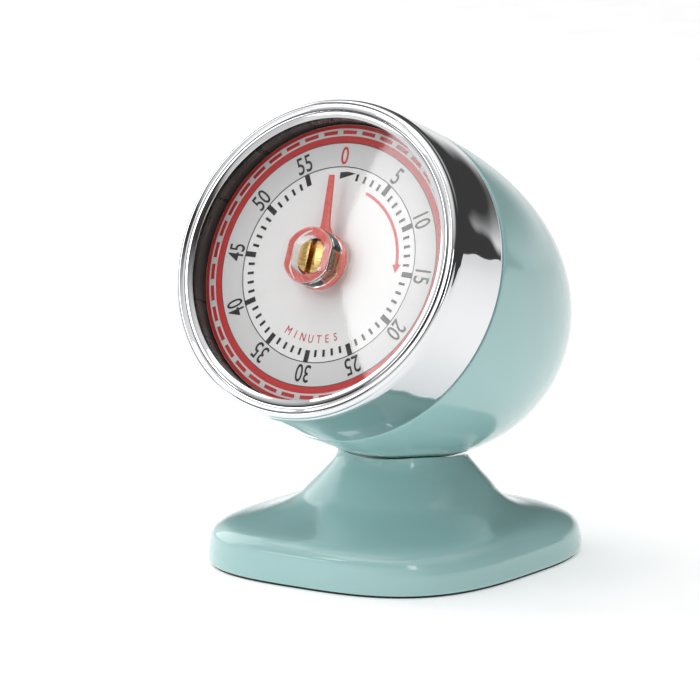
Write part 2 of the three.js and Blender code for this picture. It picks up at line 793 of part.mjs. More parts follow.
function bellPost() {
  const post = bar(2.2, BELL_CROWN + BELL_WALL + 0.4, BRACKET_TOP - 0.1, 12);
  const stud = bar(0.8, BRACKET_TOP - 1, BRACKET_TOP + 1.6, 8);
  const thread = bar(1.2, BELL_CROWN, BELL_CROWN + 6, 8);
  return built([post, stud], [thread]);
}

addTo(head, 'bell_post', bellPost(), steel);

function bell() {
  const wall = BELL_WALL;
  return ring([
    [1.4, BELL_CROWN], [14.5, BELL_CROWN], [19.5, BELL_CROWN + 1.6], [22.2, BELL_CROWN + 4.6],
    [BELL_RADIUS, BELL_CROWN + 8], [BELL_RADIUS, BELL_RIM], [BELL_RADIUS - wall, BELL_RIM],
    [BELL_RADIUS - wall, BELL_CROWN + 8], [22.2 - wall, BELL_CROWN + 5], [19.1, BELL_CROWN + 2.5],
    [14.3, BELL_CROWN + wall], [1.4, BELL_CROWN + wall],
  ], 28);
}

addTo(head, 'bell', bell(), steel);

function bellScrew() {
  const seat = BELL_CROWN - 0.1;
  return turned([
    [0, seat - 1.8], [1.8, seat - 1.8], [2.6, seat - 1], [2.6, seat],
    [0.9, seat], [0.9, seat + 5], [0, seat + 5],
  ], 12);
}

addTo(head, 'bell_screw', bellScrew(), steel);

// ---------------------------------------------------------------- stand

const STAND_SEGMENTS = 44;

// Sections of the stand from the bottom edge to the neck: half-widths, height and centre.
const STAND_SECTIONS = [
  { x: STAND_HALF_X - 0.5, y: STAND_HALF_Y - 0.5, z: STAND_EDGE, cy: 0 },
  { x: STAND_HALF_X, y: STAND_HALF_Y, z: 2.6, cy: 0 },
  { x: 33.7, y: 36.8, z: 5.2, cy: -0.2 },
  { x: 33, y: 36, z: 6.9, cy: -0.8 },
  { x: 31.9, y: 34.6, z: 8, cy: -1.5 },
  { x: 30.2, y: 32.6, z: 8.9, cy: -2.3 },
  { x: 28.2, y: 30.2, z: 9.5, cy: -2.7 },
  { x: 26, y: 27.6, z: 10, cy: -2.7 },
  { x: 23.6, y: 24.8, z: 10.7, cy: -1.9 },
  { x: 21.1, y: 21.8, z: 11.8, cy: -0.4 },
  { x: 18.8, y: 19.1, z: 13.4, cy: 1 },
  { x: 17.2, y: 17.3, z: 15.4, cy: 1.5 },
  { x: 14.6, y: 14.6, z: 18.5, cy: 1.9 },
  { x: NECK_HALF + 0.3, y: NECK_HALF + 0.3, z: 21.8, cy: NECK_CENTRE_Y },
  { x: NECK_HALF, y: NECK_HALF, z: NECK_TOP, cy: NECK_CENTRE_Y },
];

// The sections of the hollow inside, one wall thickness in from the outside.
const HOLLOW_SECTIONS = [
  { x: STAND_HALF_X - STAND_WALL, y: STAND_HALF_Y - STAND_WALL, z: STAND_EDGE - 1, cy: 0 },
  { x: STAND_HALF_X - STAND_WALL, y: STAND_HALF_Y - STAND_WALL, z: 3, cy: 0 },
  { x: 30.3, y: 33.4, z: 4.8, cy: -0.3 },
  { x: 29, y: 31.8, z: 6, cy: -1 },
  { x: 26.5, y: 28.8, z: 7, cy: -2 },
  { x: 22.5, y: 23.8, z: 7.9, cy: -1.8 },
  { x: 18.6, y: 19.2, z: 9.5, cy: -0.2 },
  { x: 15.2, y: 15.4, z: 11.9, cy: 1 },
  { x: 11.2, y: 11.2, z: NECK_WEB, cy: 2 },
];

// Distance from the centre of a superellipse to its edge, at an angle.
function sectionRadius(halfX, halfY, angle) {
  const across = Math.abs(Math.cos(angle) / halfX) ** STAND_POWER;
  const along = Math.abs(Math.sin(angle) / halfY) ** STAND_POWER;
  return (across + along) ** (-1 / STAND_POWER);
}

// A turned surface whose round sections are reshaped one by one into the sections given.
function lofted(sections, segments = STAND_SEGMENTS) {
  const top = sections.length - 1;
  const profile = [[0, 0], ...sections.map((_, i) => [1, i]), [0, top]];
  const geometry = turned(profile, segments);
  const position = geometry.attributes.position;
  const point = new THREE.Vector3();
  for (let i = 0; i < position.count; i += 1) {
    point.fromBufferAttribute(position, i);
    const section = sections[Math.round(point.z)];
    const reach = Math.hypot(point.x, point.y);
    const angle = Math.atan2(point.y, point.x);
    const radius = reach > 0.5 ? sectionRadius(section.x, section.y, angle) : 0;
    position.setXYZ(i, radius * Math.cos(angle), section.cy + radius * Math.sin(angle), section.z);
  }
  return geometry;
}

const BASE_SCREW_PLACES = [[-21, -22.5], [21, -22.5], [-21, 22.5], [21, 22.5]];
const PLATE_LOW = 0.8;
const PLATE_HIGH = 2.6;
const BOSS_LOW = PLATE_HIGH + 0.1;
const BOSS_HIGH = 7.8;
const BOSS_OUTSIDE = 3.2;
const THREAD_RADIUS = 1.2;
const THREAD_TOP = 7;

function headClearance() {
  const shape = shellOutside(GAP);
  head.updateMatrixWorld();
  return shape.applyMatrix4(head.matrixWorld);
}

function standBody() {
  const boss = ([x, y]) => place(bar(BOSS_OUTSIDE, BOSS_LOW, BOSS_HIGH, 12), x, y);
  const thread = ([x, y]) => place(bar(THREAD_RADIUS, 0, THREAD_TOP, 8), x, y);
  const bosses = BASE_SCREW_PLACES.map(boss);
  const threads = BASE_SCREW_PLACES.map(thread);
  const neckHole = place(bar(BOLT_HOLE, 10, 30), 0, NECK_CENTRE_Y);
  const shell = built([lofted(STAND_SECTIONS)], [lofted(HOLLOW_SECTIONS), headClearance()]);
  return built([shell, ...bosses], [...threads, neckHole]);
}

addTo(timer, 'stand_body', standBody(), mintPaint);

function sheet(inset, low, high, holes) {
  const halfX = STAND_HALF_X - inset;
  const halfY = STAND_HALF_Y - inset;
  const sections = [low, high].map((z) => ({ x: halfX, y: halfY, z, cy: 0 }));
  return built([lofted(sections)], holes);
}

const plateHoles = BASE_SCREW_PLACES.map(([x, y]) => place(
  turned([[0, -1], [2.5, -1], [2.5, 1.6], [1.3, PLATE_HIGH - 0.2], [1.3, 4], [0, 4]], 12), x, y,
));
addTo(timer, 'base_plate', sheet(STAND_WALL + 0.4, PLATE_LOW, PLATE_HIGH, plateHoles), blackPlastic);
addTo(timer, 'foot_pad', sheet(0.7, 0, STAND_EDGE - 0.05, []), blackRubber);

function baseScrew([x, y]) {
  return place(turned([
    [0, 0.9], [2.2, 0.9], [2.2, 1.3], [0.9, 2.1], [0.9, THREAD_TOP - 0.6], [0, THREAD_TOP - 0.6],
  ], 10), x, y);
}

BASE_SCREW_PLACES.forEach((spot, i) => {
  addTo(timer, `base_screw_${i + 1}`, baseScrew(spot), steel);
});

// ---------------------------------------------------------------- neck bolt

const BOLT_HEAD_LOW = WASHER_LOW + 1.1;

function neckBolt() {
  const boltHead = bar(4, BOLT_HEAD_LOW, BOLT_HEAD_LOW + 2.8, 6);
  const shank = bar(BOLT_RADIUS, 11, BOLT_HEAD_LOW + 1, 12);
  return place(built([boltHead, shank]), 0, NECK_CENTRE_Y);
}

addTo(timer, 'neck_bolt', neckBolt(), steel);

const neckWasher = washer(BOLT_HOLE, 5, WASHER_LOW, WASHER_LOW + 1, 20);
const neckNut = washer(BOLT_HOLE, 4, NECK_WEB - 3, NECK_WEB - 0.1, 6);
addTo(timer, 'neck_washer', place(neckWasher, 0, NECK_CENTRE_Y), steel);
addTo(timer, 'neck_nut', place(neckNut, 0, NECK_CENTRE_Y), steel);

export default timer;
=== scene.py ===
import json
import math

import bpy
from mathutils import Matrix, Vector


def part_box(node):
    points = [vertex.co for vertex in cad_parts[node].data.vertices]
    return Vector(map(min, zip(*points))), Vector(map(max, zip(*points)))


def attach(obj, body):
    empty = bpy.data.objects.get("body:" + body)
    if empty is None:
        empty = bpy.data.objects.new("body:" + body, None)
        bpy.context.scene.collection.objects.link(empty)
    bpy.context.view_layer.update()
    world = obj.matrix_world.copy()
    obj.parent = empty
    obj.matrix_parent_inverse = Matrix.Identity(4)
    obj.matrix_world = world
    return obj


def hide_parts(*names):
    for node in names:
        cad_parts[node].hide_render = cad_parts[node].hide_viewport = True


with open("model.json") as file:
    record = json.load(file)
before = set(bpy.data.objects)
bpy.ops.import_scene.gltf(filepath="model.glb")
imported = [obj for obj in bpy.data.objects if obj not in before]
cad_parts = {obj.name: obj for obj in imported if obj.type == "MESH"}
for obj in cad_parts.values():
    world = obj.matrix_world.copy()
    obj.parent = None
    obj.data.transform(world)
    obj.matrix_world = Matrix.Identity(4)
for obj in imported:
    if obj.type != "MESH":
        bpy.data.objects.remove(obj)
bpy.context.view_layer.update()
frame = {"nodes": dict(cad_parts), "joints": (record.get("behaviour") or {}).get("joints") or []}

bl_info = {
    "name": "Wind-up kitchen timer",
    "version": (1, 0, 0),
    "blender": (4, 5, 0),
    "location": "View3D > Sidebar > Timer",
    "description": "Builds the visible pieces of a wind-up kitchen timer on its frame",
    "category": "Object",
}

MM = 0.001
ROUND = 192
SMOOTH_ANGLE = math.radians(32)
POINTER_TURN = 7.3
WORD = "MINUTES"
WORD_SPREAD = 7.2
LETTER_WEIGHT = 0.008
NUMERAL_NARROW = 0.72
WORD_NARROW = 0.8
LAST_MINUTE = 55
DASH_COUNT = 38
FIRST_DASH = 4.7


# ------------------------------------------------------------------ the head's own frame

def head_frame():
    """The frame of the tilted head: +Z out through the dial, +Y up the dial, origin in the seam."""
    turn = next(joint for joint in frame["joints"] if joint["name"] == "dial_turn")
    front = -Vector(turn["axis"]).normalized()
    across = Vector((1, 0, 0))
    up = front.cross(across)
    place = Matrix((across, up, front)).transposed().to_4x4()
    return Matrix.Translation(Vector(turn["pos_m"])) @ place


HEAD = head_frame()


def head_box(node):
    """A node's lowest and highest corners in the head's own frame."""
    to_head = HEAD.inverted()
    points = [to_head @ vertex.co for vertex in frame["nodes"][node].data.vertices]
    low = Vector([min(point[axis] for point in points) for axis in range(3)])
    high = Vector([max(point[axis] for point in points) for axis in range(3)])
    return low, high


SHELL_LOW, SHELL_HIGH = head_box("head_shell")
BEZEL_LOW, BEZEL_HIGH = head_box("chrome_bezel")
LENS_LOW, LENS_HIGH = head_box("lens")
DIAL_LOW, DIAL_HIGH = head_box("dial_plate")
DRUM_LOW, DRUM_HIGH = head_box("dial_drum")
POINTER_LOW, POINTER_HIGH = head_box("pointer")
ARBOR_LOW, ARBOR_HIGH = head_box("main_arbor")
STAND_LOW, STAND_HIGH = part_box("stand_body")
PAD_LOW, PAD_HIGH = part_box("foot_pad")

SEAM_RADIUS = 34.5 * MM
SHELL_POWER = 2.43
SHELL_LENGTH = -SHELL_LOW.z
STAND_POWER = 3
NECK_Y = 2.2 * MM
NECK_GAP = 0.3 * MM
NECK_ROUND = 0.3 * MM
WELD = 1e-7
FLAT_FACE = 1e-5
FINE_ROUND = 0.12 * MM
SHEET_ROUND = 0.15 * MM
SHELL_LIP_BORE = 29.5 * MM
SHELL_LIP_FRONT = 3.2 * MM
SHELL_LIP_BACK = 4.2 * MM
LENS_THICK = 1.1 * MM
KNOB_ROOT = 0.3 * MM
KNOB_RADIUS, KNOB_FLAT = 6.05, 5.5
KNOB_BORE_RADIUS, KNOB_BORE_FLAT = 4.2, 3.6
SHAFT_RADIUS, SHAFT_FLAT = 3.45, 3.0
SHAFT_END_BACK = 11.2 * MM
SLOT_HALF, SLOT_DEPTH = 0.65, 3 * MM
HUB_RADIUS, HUB_GAP = 6.2, 0.3
DIAL_HOLE = 4.2
WEB_BACK, WEB_FRONT = 9.5, 10.3
SCREW_CIRCLE = 18.5
SCREW_ANGLES = (50, 150, 320)
INK_LIFT = 0.01 * MM
DIAL_FACE = DIAL_HIGH.z
DIAL_RADIUS = DIAL_HIGH.x


# ------------------------------------------------------------------ what a user can change

def length(label, text, value):
    return bpy.props.FloatProperty(
        name=label, description=text, default=value, unit="LENGTH", subtype="DISTANCE", precision=5
    )


def paint(label, text, value):
    return bpy.props.FloatVectorProperty(
        name=label, description=text, default=value, subtype="COLOR", size=3, min=0, max=1
    )


class TimerSizes(bpy.types.PropertyGroup):
    shell_wall: length("Shell wall", "Thickness of the pressed head shell", 1.3 * MM)
    edge_round: length("Edge rounding", "Rounding of the pressed sheet edges", 0.25 * MM)
    print_height: length("Print height", "Height of the printed ink over the dial", 0.02 * MM)
    numeral_height: length("Numeral height", "Height of the minute numerals", 3.8 * MM)
    numeral_radius: length("Numeral radius", "Distance of the numerals from the centre", 23.3 * MM)
    word_height: length("Word height", "Height of the word under the centre", 1.7 * MM)
    word_radius: length("Word radius", "Distance of that word from the centre", 15.9 * MM)
    ring_inner: length("Ring inner radius", "Inner edge of the red ring", 26.0 * MM)
    scale_radius: length("Scale radius", "Radius of the thin circle over the minute marks", 20.9 * MM)
    boss_round: length("Boss rounding", "Rounding of the moulded knob's front edge", 0.45 * MM)


class TimerColours(bpy.types.PropertyGroup):
    enamel: paint("Enamel", "Mint paint of the head and the stand", (0.37, 0.61, 0.6))
    dial: paint("Dial", "White card of the dial", (0.9, 0.89, 0.9))
    # The band colour is painted shade: it greys the dial under the numerals where the rim shades it. The
    # printed pale track in the red ring shares it.
    band: paint("Band", "Grey band under the numerals", (0.74, 0.73, 0.74))
    red: paint("Red print", "Red ring, arrow and word", (0.62, 0.02, 0.022))
    black: paint("Black print", "Numerals and minute marks", (0.012, 0.012, 0.013))
    pointer: paint("Pointer", "Red plastic of the pointer", (0.72, 0.13, 0.11))
    drum: paint("Drum", "Dark inner wall round the dial", (0.03, 0.026, 0.022))
    brass: paint("Brass", "Winding shaft and wheels", (0.72, 0.48, 0.19))
    steel: paint("Steel", "Arbors, screws and levers", (0.45, 0.46, 0.47))
    rubber: paint("Rubber", "Pad under the foot", (0.018, 0.017, 0.016))


# ------------------------------------------------------------------ finishes

def texture_place(material, stretch=(1, 1, 1), centred=False):
    """Object coordinates, stretched, and turned into the head's own frame when centred."""
    nodes = material.node_tree.nodes
    links = material.node_tree.links
    coordinates = nodes.new("ShaderNodeTexCoord")
    source = coordinates.outputs["Object"]
    if centred:
        seat = nodes.new("ShaderNodeMapping")
        seat.vector_type = "TEXTURE"
        seat.inputs["Location"].default_value = HEAD.to_translation()
        seat.inputs["Rotation"].default_value = HEAD.to_euler()
        links.new(source, seat.inputs["Vector"])
        source = seat.outputs["Vector"]
    scale = nodes.new("ShaderNodeMapping")
    scale.inputs["Scale"].default_value = stretch
    links.new(source, scale.inputs["Vector"])
    return scale.outputs["Vector"]


def noise(material, place, per_metre, detail=3, rough=0.55):
    nodes = material.node_tree.nodes
    grain = nodes.new("ShaderNodeTexNoise")
    grain.inputs["Scale"].default_value = per_metre
    grain.inputs["Detail"].default_value = detail
    grain.inputs["Roughness"].default_value = rough
    material.node_tree.links.new(place, grain.inputs["Vector"])
    return grain.outputs["Fac"]


def between(material, factor, low, high):
    nodes = material.node_tree.nodes
    spread = nodes.new("ShaderNodeMapRange")
    spread.inputs["From Min"].default_value = 0.3
    spread.inputs["From Max"].default_value = 0.7
    spread.inputs["To Min"].default_value = low
    spread.inputs["To Max"].default_value = high
    material.node_tree.links.new(factor, spread.inputs["Value"])
    return spread.outputs["Result"]


def two_tone(material, factor, first, second):
    mix = material.node_tree.nodes.new("ShaderNodeMix")
    mix.data_type = "RGBA"
    mix.inputs["A"].default_value = (*first, 1)
    mix.inputs["B"].default_value = (*second, 1)
    material.node_tree.links.new(factor, mix.inputs["Factor"])
    return mix.outputs["Result"]


def relief(material, height, depth, strength=1.0):
    nodes = material.node_tree.nodes
    bump = nodes.new("ShaderNodeBump")
    bump.inputs["Strength"].default_value = strength
    bump.inputs["Distance"].default_value = depth
    material.node_tree.links.new(height, bump.inputs["Height"])
    shader = nodes["Principled BSDF"]
    material.node_tree.links.new(bump.outputs["Normal"], shader.inputs["Normal"])
    return bump


def shaded(colour, share):
    return tuple(max(0.0, min(1.0, part * share)) for part in colour)


def surface(
    name, colour, roughness, metallic=0.0, tone=0.06, blotch=40, grain=900,
    depth=0.00001, stretch=(1, 1, 1), centred=False, spread=0.25, coat=0.0, specular=0.5,
):
    """A finish whose colour, gloss and relief vary over the piece at the material's real scale."""
    material = bpy.data.materials.new(name)
    material.use_nodes = True
    shader = material.node_tree.nodes["Principled BSDF"]
    links = material.node_tree.links
    even = texture_place(material, (1, 1, 1), centred)
    drawn = texture_place(material, stretch, centred)
    patches = noise(material, even, blotch, 4)
    fine = noise(material, drawn, grain, 3)
    tones = two_tone(material, patches, shaded(colour, 1 - tone), shaded(colour, 1 + tone))
    links.new(tones, shader.inputs["Base Color"])
    gloss = between(material, fine, roughness * (1 - spread), roughness * (1 + spread))
    links.new(gloss, shader.inputs["Roughness"])
    relief(material, fine, depth)
    shader.inputs["Metallic"].default_value = metallic
    shader.inputs["Coat Weight"].default_value = coat
    shader.inputs["Coat Roughness"].default_value = 0.03
    shader.inputs["Specular IOR Level"].default_value = specular
    return material


def clear_surface(name, tint, ior=1.49):
    """Moulded clear plastic: it bends what is seen through it and lets lamps reach what it covers."""
    material = surface(name, tint, 0.02, tone=0.01, grain=300, depth=0.000002)
    tree = material.node_tree
    shader = tree.nodes["Principled BSDF"]
    shader.inputs["Transmission Weight"].default_value = 1.0
    shader.inputs["IOR"].default_value = ior
    rays = tree.nodes.new("ShaderNodeLightPath")
    open_way = tree.nodes.new("ShaderNodeBsdfTransparent")
    open_way.inputs["Color"].default_value = (*shaded(tint, 0.98), 1)
    mix = tree.nodes.new("ShaderNodeMixShader")
    tree.links.new(rays.outputs["Is Shadow Ray"], mix.inputs["Fac"])
    tree.links.new(shader.outputs["BSDF"], mix.inputs[1])
    tree.links.new(open_way.outputs["BSDF"], mix.inputs[2])
    tree.links.new(mix.outputs["Shader"], tree.nodes["Material Output"].inputs["Surface"])
    return material


FINISHES = {}


def make_finishes(colours):
    """Every finish of the timer, by name."""
    FINISHES["mint_enamel"] = surface(
        "mint enamel", colours.enamel, 0.16, tone=0.03, blotch=25, grain=700, depth=0.000008,
        coat=0.6, spread=0.2,
    )
    FINISHES["chrome"] = surface(
        "polished chrome", (0.8, 0.805, 0.82), 0.035, metallic=1.0, tone=0.015, blotch=60,
        grain=500, depth=0.000002,
    )
    FINISHES["clear_plastic"] = clear_surface("clear moulded plastic", (0.985, 0.99, 0.985))
    FINISHES["pointer_red"] = surface(
        "red pointer plastic", colours.pointer, 0.3, tone=0.05, blotch=200, grain=1500,
        depth=0.000004,
    )
    FINISHES["dial_print"] = surface(
        "printed dial card", colours.dial, 0.45, tone=0.015, blotch=80, grain=2500, depth=0.000004,
    )
    # Grey of the printed pale track, and of the band under the numerals, where it is painted shade from
    # the rim.
    FINISHES["rim_shade_band_and_track"] = surface(
        "grey track print and painted rim shade", colours.band, 0.45, tone=0.015, blotch=80, grain=2500, depth=0.000004,
    )
    FINISHES["red_print"] = surface(
        "red print", colours.red, 0.4, tone=0.06, blotch=120, grain=2500, depth=0.000004,
    )
    FINISHES["black_print"] = surface(
        "black print", colours.black, 0.4, tone=0.2, blotch=200, grain=2500, depth=0.000004,
    )
    FINISHES["black_enamel"] = surface(
        "dark drum paint", colours.drum, 0.3, tone=0.35, blotch=150, grain=160, depth=0.00002,
        stretch=(1, 1, 0.08), centred=True, spread=0.4,
    )
    FINISHES["black_plastic"] = surface(
        "black plastic", (0.02, 0.019, 0.018), 0.45, tone=0.1, blotch=90, grain=1800,
        depth=0.00001,
    )
    FINISHES["black_rubber"] = surface(
        "black rubber", colours.rubber, 0.75, tone=0.15, blotch=60, grain=1600, depth=0.00003,
    )
    FINISHES["brass"] = surface(
        "brass", colours.brass, 0.25, metallic=1.0, tone=0.06, blotch=150, grain=2500,
        depth=0.000006, stretch=(0.15, 1, 1), centred=True,
    )
    FINISHES["steel"] = surface(
        "steel", colours.steel, 0.3, metallic=1.0, tone=0.06, blotch=150, grain=2200,
        depth=0.000006, stretch=(1, 0.15, 1), centred=True,
    )
    FINISHES["spring_steel"] = surface(
        "blued spring steel", (0.16, 0.2, 0.28), 0.28, metallic=1.0, tone=0.15, blotch=90,
        grain=2200, depth=0.000006, centred=True,
    )
    FINISHES["bell_nickel"] = surface(
        "bell nickel", (0.62, 0.6, 0.55), 0.22, metallic=1.0, tone=0.05, blotch=60, grain=1500,
        depth=0.000006, stretch=(1, 1, 0.2), centred=True,
    )


# ------------------------------------------------------------------ modelling by hand

def deselect():
    if bpy.context.mode != "OBJECT":
        bpy.ops.object.mode_set(mode="OBJECT")
    bpy.ops.object.select_all(action="DESELECT")


def only(piece):
    deselect()
    piece.hide_set(False)
    piece.select_set(True)
    bpy.context.view_layer.objects.active = piece
    return piece


def seat(piece, place=None):
    """Puts a piece's place into its mesh and leaves the object at the origin."""
    only(piece)
    bpy.ops.object.transform_apply(location=True, rotation=True, scale=True)
    if place is not None:
        piece.data.transform(place)
    piece.data.update()
    return piece


def turned(name, profile, segments=ROUND, ends="bridged"):
    """A piece turned about Z: a circle extruded ring by ring along (radius, height) points.
    Its ends are bridged to each other, filled, or left open. A radius of 0 makes a point."""
    deselect()
    radius, height = profile[0]
    bpy.ops.mesh.primitive_circle_add(vertices=segments, radius=radius, location=(0, 0, height))
    piece = named(bpy.context.object, name)
    bpy.ops.object.mode_set(mode="EDIT")
    bpy.ops.mesh.select_all(action="SELECT")
    for next_radius, next_height in profile[1:]:
        rise = (0, 0, next_height - height)
        bpy.ops.mesh.extrude_edges_move(TRANSFORM_OT_translate={"value": rise})
        share = next_radius / radius
        bpy.ops.transform.resize(value=(share, share, 1), center_override=(0, 0, next_height))
        radius, height = next_radius, next_height
    close_ends(ends)
    return seat(piece)


def close_ends(ends):
    """Merges doubles in the mesh being edited, closes its open loops, and turns its faces outwards."""
    bpy.ops.mesh.select_all(action="SELECT")
    bpy.ops.mesh.remove_doubles(threshold=WELD)
    bpy.ops.mesh.select_all(action="DESELECT")
    bpy.ops.mesh.select_mode(type="EDGE")
    bpy.ops.mesh.select_non_manifold()
    if ends == "bridged":
        bpy.ops.mesh.bridge_edge_loops()
    if ends == "filled":
        bpy.ops.mesh.edge_face_add()
    bpy.ops.mesh.select_all(action="SELECT")
    bpy.ops.mesh.normals_make_consistent(inside=False)
    bpy.ops.object.mode_set(mode="OBJECT")


def named(piece, name):
    piece.name = name
    piece.data.name = name
    return piece


def joined(name, pieces):
    """Several meshes made into one piece."""
    deselect()
    for piece in pieces:
        piece.select_set(True)
    bpy.context.view_layer.objects.active = pieces[0]
    if len(pieces) > 1:
        bpy.ops.object.join()
    return named(bpy.context.view_layer.objects.active, name)


def welded(name, pieces):
    """Open surfaces that share their end rings, made into one closed piece."""
    whole = joined(name, pieces)
    only(whole)
    bpy.ops.object.mode_set(mode="EDIT")
    close_ends("open")
    return whole


def rounded_edges(piece, width, steps=3, angle=SMOOTH_ANGLE):
    """Rounds every sharp edge."""
    only(piece)
    bevel = piece.modifiers.new("rounding", "BEVEL")
    bevel.width = width
    bevel.segments = steps
    bevel.limit_method = "ANGLE"
    bevel.angle_limit = angle
    bpy.ops.object.modifier_apply(modifier=bevel.name)
    return piece


def cut(piece, tool, operation="DIFFERENCE"):
    """Takes the tool's shape out of a piece, or adds it, and removes the tool."""
    only(piece)
    boolean = piece.modifiers.new("cut", "BOOLEAN")
    boolean.operation = operation
    boolean.solver = "EXACT"
    boolean.object = tool
    bpy.ops.object.modifier_apply(modifier=boolean.name)
    bpy.data.objects.remove(tool)
    return piece


def extruded(name, outline, low, high):
    """A flat piece: an outline filled and extruded from low to high."""
    deselect()
    bpy.ops.mesh.primitive_circle_add(
        vertices=len(outline), radius=1, fill_type="NGON", location=(0, 0, low)
    )
    piece = named(bpy.context.object, name)
    for vertex, (x, y) in zip(piece.data.vertices, outline):
        vertex.co = (x, y, 0)
    bpy.ops.object.mode_set(mode="EDIT")
    bpy.ops.mesh.select_all(action="SELECT")
    bpy.ops.mesh.extrude_region_move(TRANSFORM_OT_translate={"value": (0, 0, high - low)})
    bpy.ops.mesh.select_all(action="SELECT")
    bpy.ops.mesh.normals_make_consistent(inside=False)
    bpy.ops.object.mode_set(mode="OBJECT")
    return seat(piece)


def dressed(piece, finish, body, slot, *stands_for):
    """Gives a finished piece its finish and its body, and hides the nodes it stands for. The slot is not
    used.
    """
    only(piece)
    piece.data.materials.clear()
    piece.data.materials.append(FINISHES[finish])
    bpy.ops.object.shade_smooth_by_angle(angle=SMOOTH_ANGLE)
    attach(piece, body)
    if stands_for:
        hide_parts(*stands_for)
    return piece


def in_mm(points):
    return [(x * MM, y * MM) for x, y in points]


def arc(centre, radius, start, end, steps):
    """Points of an arc, with angles in degrees from the first axis to the second."""
    points = []
    for i in range(steps + 1):
        angle = math.radians(start + (end - start) * i / steps)
        points.append((centre[0] + radius * math.cos(angle), centre[1] + radius * math.sin(angle)))
    return points


def clock(radius, degrees):
    """A point on the dial at an angle clockwise from twelve."""
    angle = math.radians(degrees)
    return radius * math.sin(angle), radius * math.cos(angle)


def double_flat(radius, flat, steps=24):
    """A circle with two flats at x = -flat and x = +flat."""
    corner = math.degrees(math.acos(flat / radius))
    return (
        arc((0, 0), radius, corner, 180 - corner, steps)
        + arc((0, 0), radius, 180 + corner, 360 - corner, steps)
    )


# ------------------------------------------------------------------ head shell

def shell_side(grow, front, steps):
    """(radius, height) points from the front plane back to the tail, at one offset."""
    tail = SHELL_LENGTH + grow
    points = []
    for i in range(steps):
        depth = front + (tail - front) * math.sin(math.pi / 2 * i / steps)
        share = depth / tail
        points.append(((SEAM_RADIUS + grow) * (1 - share ** SHELL_POWER) ** (1 / SHELL_POWER), -depth))
    points.append((0.0, -tail))
    return points


class TIMER_OT_head_shell(bpy.types.Operator):
    """Pressed and painted shell of the head, with its rolled front edge and the neck bolt's hole"""

    bl_idname = "timer.head_shell"
    bl_label = "Head shell"

    def execute(self, context):
        sizes = context.scene.timer_sizes
        edge = sizes.edge_round
        front = -SHELL_HIGH.z
        bore = SEAM_RADIUS - sizes.shell_wall
        roll = arc((SEAM_RADIUS - edge, -front - edge), edge, 90, 0, 5)
        outside = turned("shell_outside", roll[:-1] + shell_side(0.0, front + edge, 64), ends="open")
        seat_ring = [
            (SEAM_RADIUS - edge, -front), (bore, -front), (bore, -SHELL_LIP_FRONT),
            (SHELL_LIP_BORE, -SHELL_LIP_FRONT), (SHELL_LIP_BORE, -SHELL_LIP_BACK),
        ]
        inside = turned(
            "shell_inside",
            seat_ring + shell_side(-sizes.shell_wall, SHELL_LIP_BACK, 28),
            ends="open",
        )
        shell = welded("painted_head_shell", [outside, inside])
        seat(shell, HEAD)
        low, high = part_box("neck_bolt")
        hole = turned("bolt_hole", [(2.4 * MM, low.z), (2.4 * MM, high.z)], 48, ends="filled")
        seat(hole, Matrix.Translation((0, NECK_Y, 0)))
        cut(shell, hole)
        dressed(shell, "mint_enamel", "root", "mint_enamel", "head_shell")
        return {"FINISHED"}


# ------------------------------------------------------------------ stand

# Half-width across, half-width along, height and centre of the stand's sections, in millimetres.
STAND_SECTIONS = (
    (34.0, 37.2, 2.6, 0.0), (33.7, 36.8, 5.2, -0.2), (33.0, 36.0, 6.9, -0.8), (31.9, 34.6, 8.0, -1.5),
    (30.2, 32.6, 8.9, -2.3), (28.2, 30.2, 9.5, -2.7), (26.0, 27.6, 10.0, -2.7), (23.6, 24.8, 10.7, -1.9),
    (21.1, 21.8, 11.8, -0.4), (18.8, 19.1, 13.4, 1.0), (17.2, 17.3, 15.4, 1.5), (14.6, 14.6, 18.5, 1.9),
    (12.3, 12.3, 21.8, 2.2), (12.0, 12.0, 26.0, 2.2),
)
HOLLOW = (
    (11.2, 11.2, 17.3, 2.0), (15.2, 15.4, 11.9, 1.0), (18.6, 19.2, 9.5, -0.2), (22.5, 23.8, 7.9, -1.8),
    (26.5, 28.8, 7.0, -2.0), (29.0, 31.8, 6.0, -1.0), (30.3, 33.4, 4.8, -0.3), (31.8, 35.0, 3.0, 0.0),
    (31.8, 35.0, 0.5, 0.0),
)
BOSS_PLACES = ((-21.0, -22.5), (21.0, -22.5), (-21.0, 22.5), (21.0, 22.5))
STAND_ROUND = 240


def smoothed(points, steps):
    """Points along a smooth curve through the points given."""
    made = []
    for i in range(len(points) - 1):
        before = points[max(i - 1, 0)]
        after = points[min(i + 2, len(points) - 1)]
        for step in range(steps):
            t = step / steps
            made.append(tuple(
                0.5 * (2 * b + (c - a) * t + (2 * a - 5 * b + 4 * c - d) * t * t
                       + (3 * b - a - 3 * c + d) * t ** 3)
                for a, b, c, d in zip(before, points[i], points[i + 1], after)
            ))
    return made + [points[-1]]


def stand_sections():
    """The stand's outside from its bottom edge up to the top of its neck."""
    half_x = STAND_HIGH.x / MM
    half_y = STAND_HIGH.y / MM
    edge = STAND_LOW.z / MM
    sections = []
    for drop, rise in arc((0, 0), 1, 180, 90, 5):
        sections.append((half_x - 0.5 * (1 - rise), half_y - 0.5 * (1 - rise), edge + 1 + drop, 0.0))
    return sections + smoothed(STAND_SECTIONS, 6)


def section_reach(half_x, half_y, angle):
    """Distance from the centre of a rounded square to its edge, at an angle."""
    across = abs(math.cos(angle) / half_x) ** STAND_POWER
    along = abs(math.sin(angle) / half_y) ** STAND_POWER
    return (across + along) ** (-1 / STAND_POWER)


